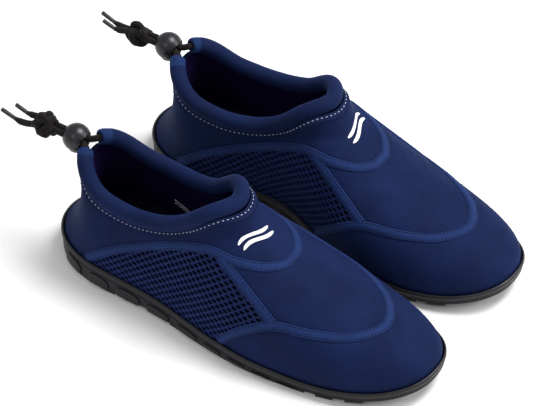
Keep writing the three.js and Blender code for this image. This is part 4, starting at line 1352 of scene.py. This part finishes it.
def extruded_rings(rings, look, angle=35):
    """A closed body: a circle set on the first ring and extruded to each of the others."""
    around = 2 * RING_HALF
    body = start_piece(bpy.ops.mesh.primitive_circle_add, vertices=around, radius=1, fill_type="NOTHING")
    bpy.ops.object.mode_set(mode="EDIT")
    bm, order = edited(body)
    for i, vertex in enumerate(bm.verts):
        vertex[order] = i
        vertex.co = rings[0][i]
    bmesh.update_edit_mesh(body.data)
    for ring in rings[1:]:
        bpy.ops.mesh.extrude_region_move()
        bm, order = edited(body)
        for vertex in bm.verts:
            if vertex.select:
                vertex.co = ring[vertex[order]]
        bmesh.update_edit_mesh(body.data)
    bm, order = edited(body)
    first_ring = [v for v in bm.verts if len(v.link_edges) == 3 and not v.select]
    for end in (first_ring, [v for v in bm.verts if v.select]):
        end.sort(key=lambda v: v[order])
        for i in range(RING_HALF):
            corners = [end[i], end[i + 1], end[(around - i - 1) % around], end[(around - i) % around]]
            bm.faces.new(list(dict.fromkeys(corners)))
    bmesh.ops.recalc_face_normals(bm, faces=bm.faces)
    bmesh.update_edit_mesh(body.data)
    bpy.ops.object.mode_set(mode="OBJECT")
    mesh = body.data
    mesh.materials.append(finishes[look])
    mesh.shade_smooth()
    mesh.set_sharp_from_angle(angle=math.radians(angle))
    bpy.data.objects.remove(body)
    return mesh


# %% Outsole
BEAD_DROP = 3.3
TREAD_EDGE, WALL_RUN = 2.9, 7.2
GROOVES = ((0.75, 6.9), (1.35, 6.6), (0.75, 6.3), (0.7, 5.6), (1.3, 5.3), (0.7, 5.0), (0.6, 4.2), (0.95, 3.9))
BEAD = ((0.15, BEAD_DROP), (-0.1, 2.4), (0, 1.3), (0.45, 0.35), (1.1, -0.05), (1.7, 0.25), (RIM_WALL, 0.9),
        (RIM_WALL, RIM_DEPTH))


def sole_room(s):
    """How much of the side wall is left for the groove lines, from 0 to 1."""
    return np.clip((rim(s) - ground(s) - TREAD_EDGE) / WALL_RUN, 0.2, 1)


def off_ground(rise):
    return lambda s: ground(s) + rise


def below_rim(drop, room=lambda s: 1):
    """A height below the rim. What lies below the bead is squeezed where the wall is low."""
    return lambda s: rim(s) - BEAD_DROP - (drop - BEAD_DROP) * room(s)


def add_outsole():
    sizes = [(3.2, off_ground(2.2)), (1.6, off_ground(2.3)), (0.9, off_ground(2.8))]
    sizes += [(inset, below_rim(drop, sole_room)) for inset, drop in GROOVES]
    sizes += [(inset, below_rim(drop)) for inset, drop in BEAD]
    rings = [outline_ring(inset, height) for inset, height in sizes]
    make_pair(extruded_rings(rings, "rubber"), "outsole_cup", replaces=["outsole"])


add_outsole()

# %% [markdown]
# ## Tread
# Bars run across the underside, and oval lobes run round the side wall. Both come from
# one bevelled cube, which is bent to the sole by formula wherever it is copied.

# %% Bars and lobes
BAR_COUNT, BAR_START, BAR_PITCH, BAR_HALF, BAR_WAVE = 13, 20, 19, 6, 1.6
# The station of each lobe's middle and half its length
LOBES = ((26, 8.5), (50, 8.5), (74, 9.5), (99, 9.5), (124, 8.5), (146, 7), (165, 7), (184, 7), (203, 7))


def rounded_block(cuts, bevel):
    """A bevelled cube with sides of length 2, cut into slices along X."""
    block = start_piece(bpy.ops.mesh.primitive_cube_add, size=2)
    bpy.ops.object.mode_set(mode="EDIT")
    bpy.ops.mesh.select_all(action="SELECT")
    bpy.ops.mesh.bevel(offset=bevel, segments=2)
    for level in np.linspace(-1, 1, cuts + 2)[1:-1]:
        bpy.ops.mesh.select_all(action="SELECT")
        bpy.ops.mesh.bisect(plane_co=(level, 0, 0), plane_no=(1, 0, 0))
    bpy.ops.object.mode_set(mode="OBJECT")
    return taken_apart(block)


def add_tread():
    points, faces = rounded_block(15, 0.09)
    bars = []
    for i in range(BAR_COUNT):
        wave = BAR_WAVE * np.cos(points[:, 0] * 3.2 * np.pi)
        s = BAR_START + BAR_PITCH * i + points[:, 1] * BAR_HALF + wave
        x = centre(s) + points[:, 0] * half_width(s, 1.5)
        z = ground(s) + np.where(points[:, 2] < 0, 0, 3.0) + (points[:, 2] + np.sign(-points[:, 2])) * 1.2
        bars.append(new_mesh(place(s, x, np.maximum(z, ground(s))), faces, ["rubber"], angle=35))
    make_pair(joined(bars), "tread_bars")


def add_side_lobes():
    """Rounded lobes on the side wall, larger at the arch and small towards the toe."""
    points, faces = rounded_block(3, 0.35)
    lobes = []
    for way in sides.values():
        for s, half in LOBES:
            along = s + points[:, 0] * half
            line = place(along, centre(along) + way * half_width(along, 0.75), 0)
            low = ground(along) + 2.3
            high = rim(along) - GROOVES[0][1] * sole_room(along) - 0.3
            arch = (high - low) * (1 - 0.25 * points[:, 0] ** 2)
            line[:, 2] = low + arch * (points[:, 2] * 0.5 + 0.5)
            line[:, 0] += way * points[:, 1] * 1.0
            lobes.append(line)
    mesh = copied(lobes, faces, ["rubber"], angle=50)
    face_out(mesh)
    make_pair(mesh, "side_lobes")


add_tread()
add_side_lobes()

# %% [markdown]
# ## Inside of the shoe
# The upper's bottom is a felt board, sewn in before the sole is glued on. A loose cloth-faced foam insole
# lies on it. It is soft, so its edge is rounded and its top is slightly dished.

# %% Board and insole
LAYER_INSET = UPPER_INSET + NEOPRENE + 0.8


def above_floor(rise):
    return lambda s: rim(s) - RIM_DEPTH + rise


def layer(outline, look, angle):
    """A flat layer inside the shoe, from insets and heights above the cup's floor."""
    return extruded_rings([outline_ring(LAYER_INSET + i, above_floor(h)) for i, h in outline], look, angle)


BOARD = [(0.3, 0.4), (0, 0.7), (0, 1.6), (0.3, 1.9)]
make_pair(layer(BOARD, "felt", 35), "felt_board", replaces=["strobel_board"])
CUSHION = [(2.0, 2.3), (1.0, 2.5), (0.8, 3.4), (0.85, 4.6), (1.4, 5.5), (2.6, 5.85), (5, 5.7), (9, 5.3)]
make_pair(layer(CUSHION, "foam", 60), "insole_cushion", replaces=["insole"])


def add_inner_stitches():
    """Two rows of white overlock thread where the upper is sewn to its bottom."""
    rows = []
    for degrees, slant in ((17.0, 1.0), (21.0, -1.0)):
        base = np.stack([on_section(s, np.float64(degrees), 1) for s in np.arange(66, 96, 2.4)])
        up = -normal_at(base)
        at = base + up * (NEOPRENE + 0.1)
        ahead = tangents(at) + np.cross(up, tangents(at)) * 0.45 * slant
        rows.append(stitched(at, ahead, up, "white_thread", 1.35))
    make_pair(joined(rows), "overlock_stitches")


add_inner_stitches()

# %% [markdown]
# ## Printed mark
# The real shoe has a light print on its tongue. Here it is two plain waves, laid just over the neoprene.

# %% Print
def add_print():
    bands = []
    for offset in (-2.1, 2.1):
        t = np.linspace(-1, 1, 40)
        width = 1.15 * np.sqrt(np.maximum(0.02, 1 - t**4))
        rows = []
        for across in np.linspace(-1, 1, 5):
            s = 153.5 + offset + t * 2.4 + 1.5 * np.sin(t * 2.6) + across * width
            x = -8.5 + 14 * t
            guess = place(s, x, rim(s) + ridge_height(s) + 5)
            rows.append(on_yoke(on_last(guess), 0.22))
        grid = np.stack(rows)
        normals = normal_at(grid)
        bands.append(panel_mesh(grid, normals, 0.5, ["print"]))
    make_pair(joined(bands), "printed_waves")


add_print()

# %% [markdown]
# ## Floor and light
# A pale floor and a bright world give the plain background. One large soft light above the toes leaves the
# near sides darker, as a main light set behind an object does.

# %% Floor, world and lights
floor = start_piece(bpy.ops.mesh.primitive_plane_add, size=12, location=(0, 0, -0.0004))
floor.name = "studio_floor"
floor_finish = Finish("floor_paper", 0.9)
floor_finish.paint(floor_finish.ramp(floor_finish.noise(3.0), [(0.86, 0.86, 0.87), (0.9, 0.9, 0.9)]))
floor.data.materials.append(floor_finish.material)

world = bpy.context.scene.world or bpy.data.worlds.new("studio")
bpy.context.scene.world = world
world.use_nodes = True
backdrop = world.node_tree.nodes.get("Background")
backdrop.inputs["Color"].default_value = (1, 1, 1, 1)
backdrop.inputs["Strength"].default_value = 0.62


def add_light(name, place_at, size, power):
    data = bpy.data.lights.new(name, "AREA")
    data.shape, data.size, data.energy = "DISK", size, power
    lamp = bpy.data.objects.new(name, data)
    bpy.context.scene.collection.objects.link(lamp)
    lamp.location = place_at
    lamp.rotation_euler = (-Vector(place_at)).to_track_quat("-Z", "Y").to_euler()


add_light("key", (0.7, -0.5, 1.8), 1.0, 42)
add_light("toe_fill", (0.9, -1.5, 1.0), 0.8, 12)
add_light("near_fill", (-1.5, 0.2, 1.5), 0.5, 4)
bpy.context.scene.view_settings.view_transform = "Standard"
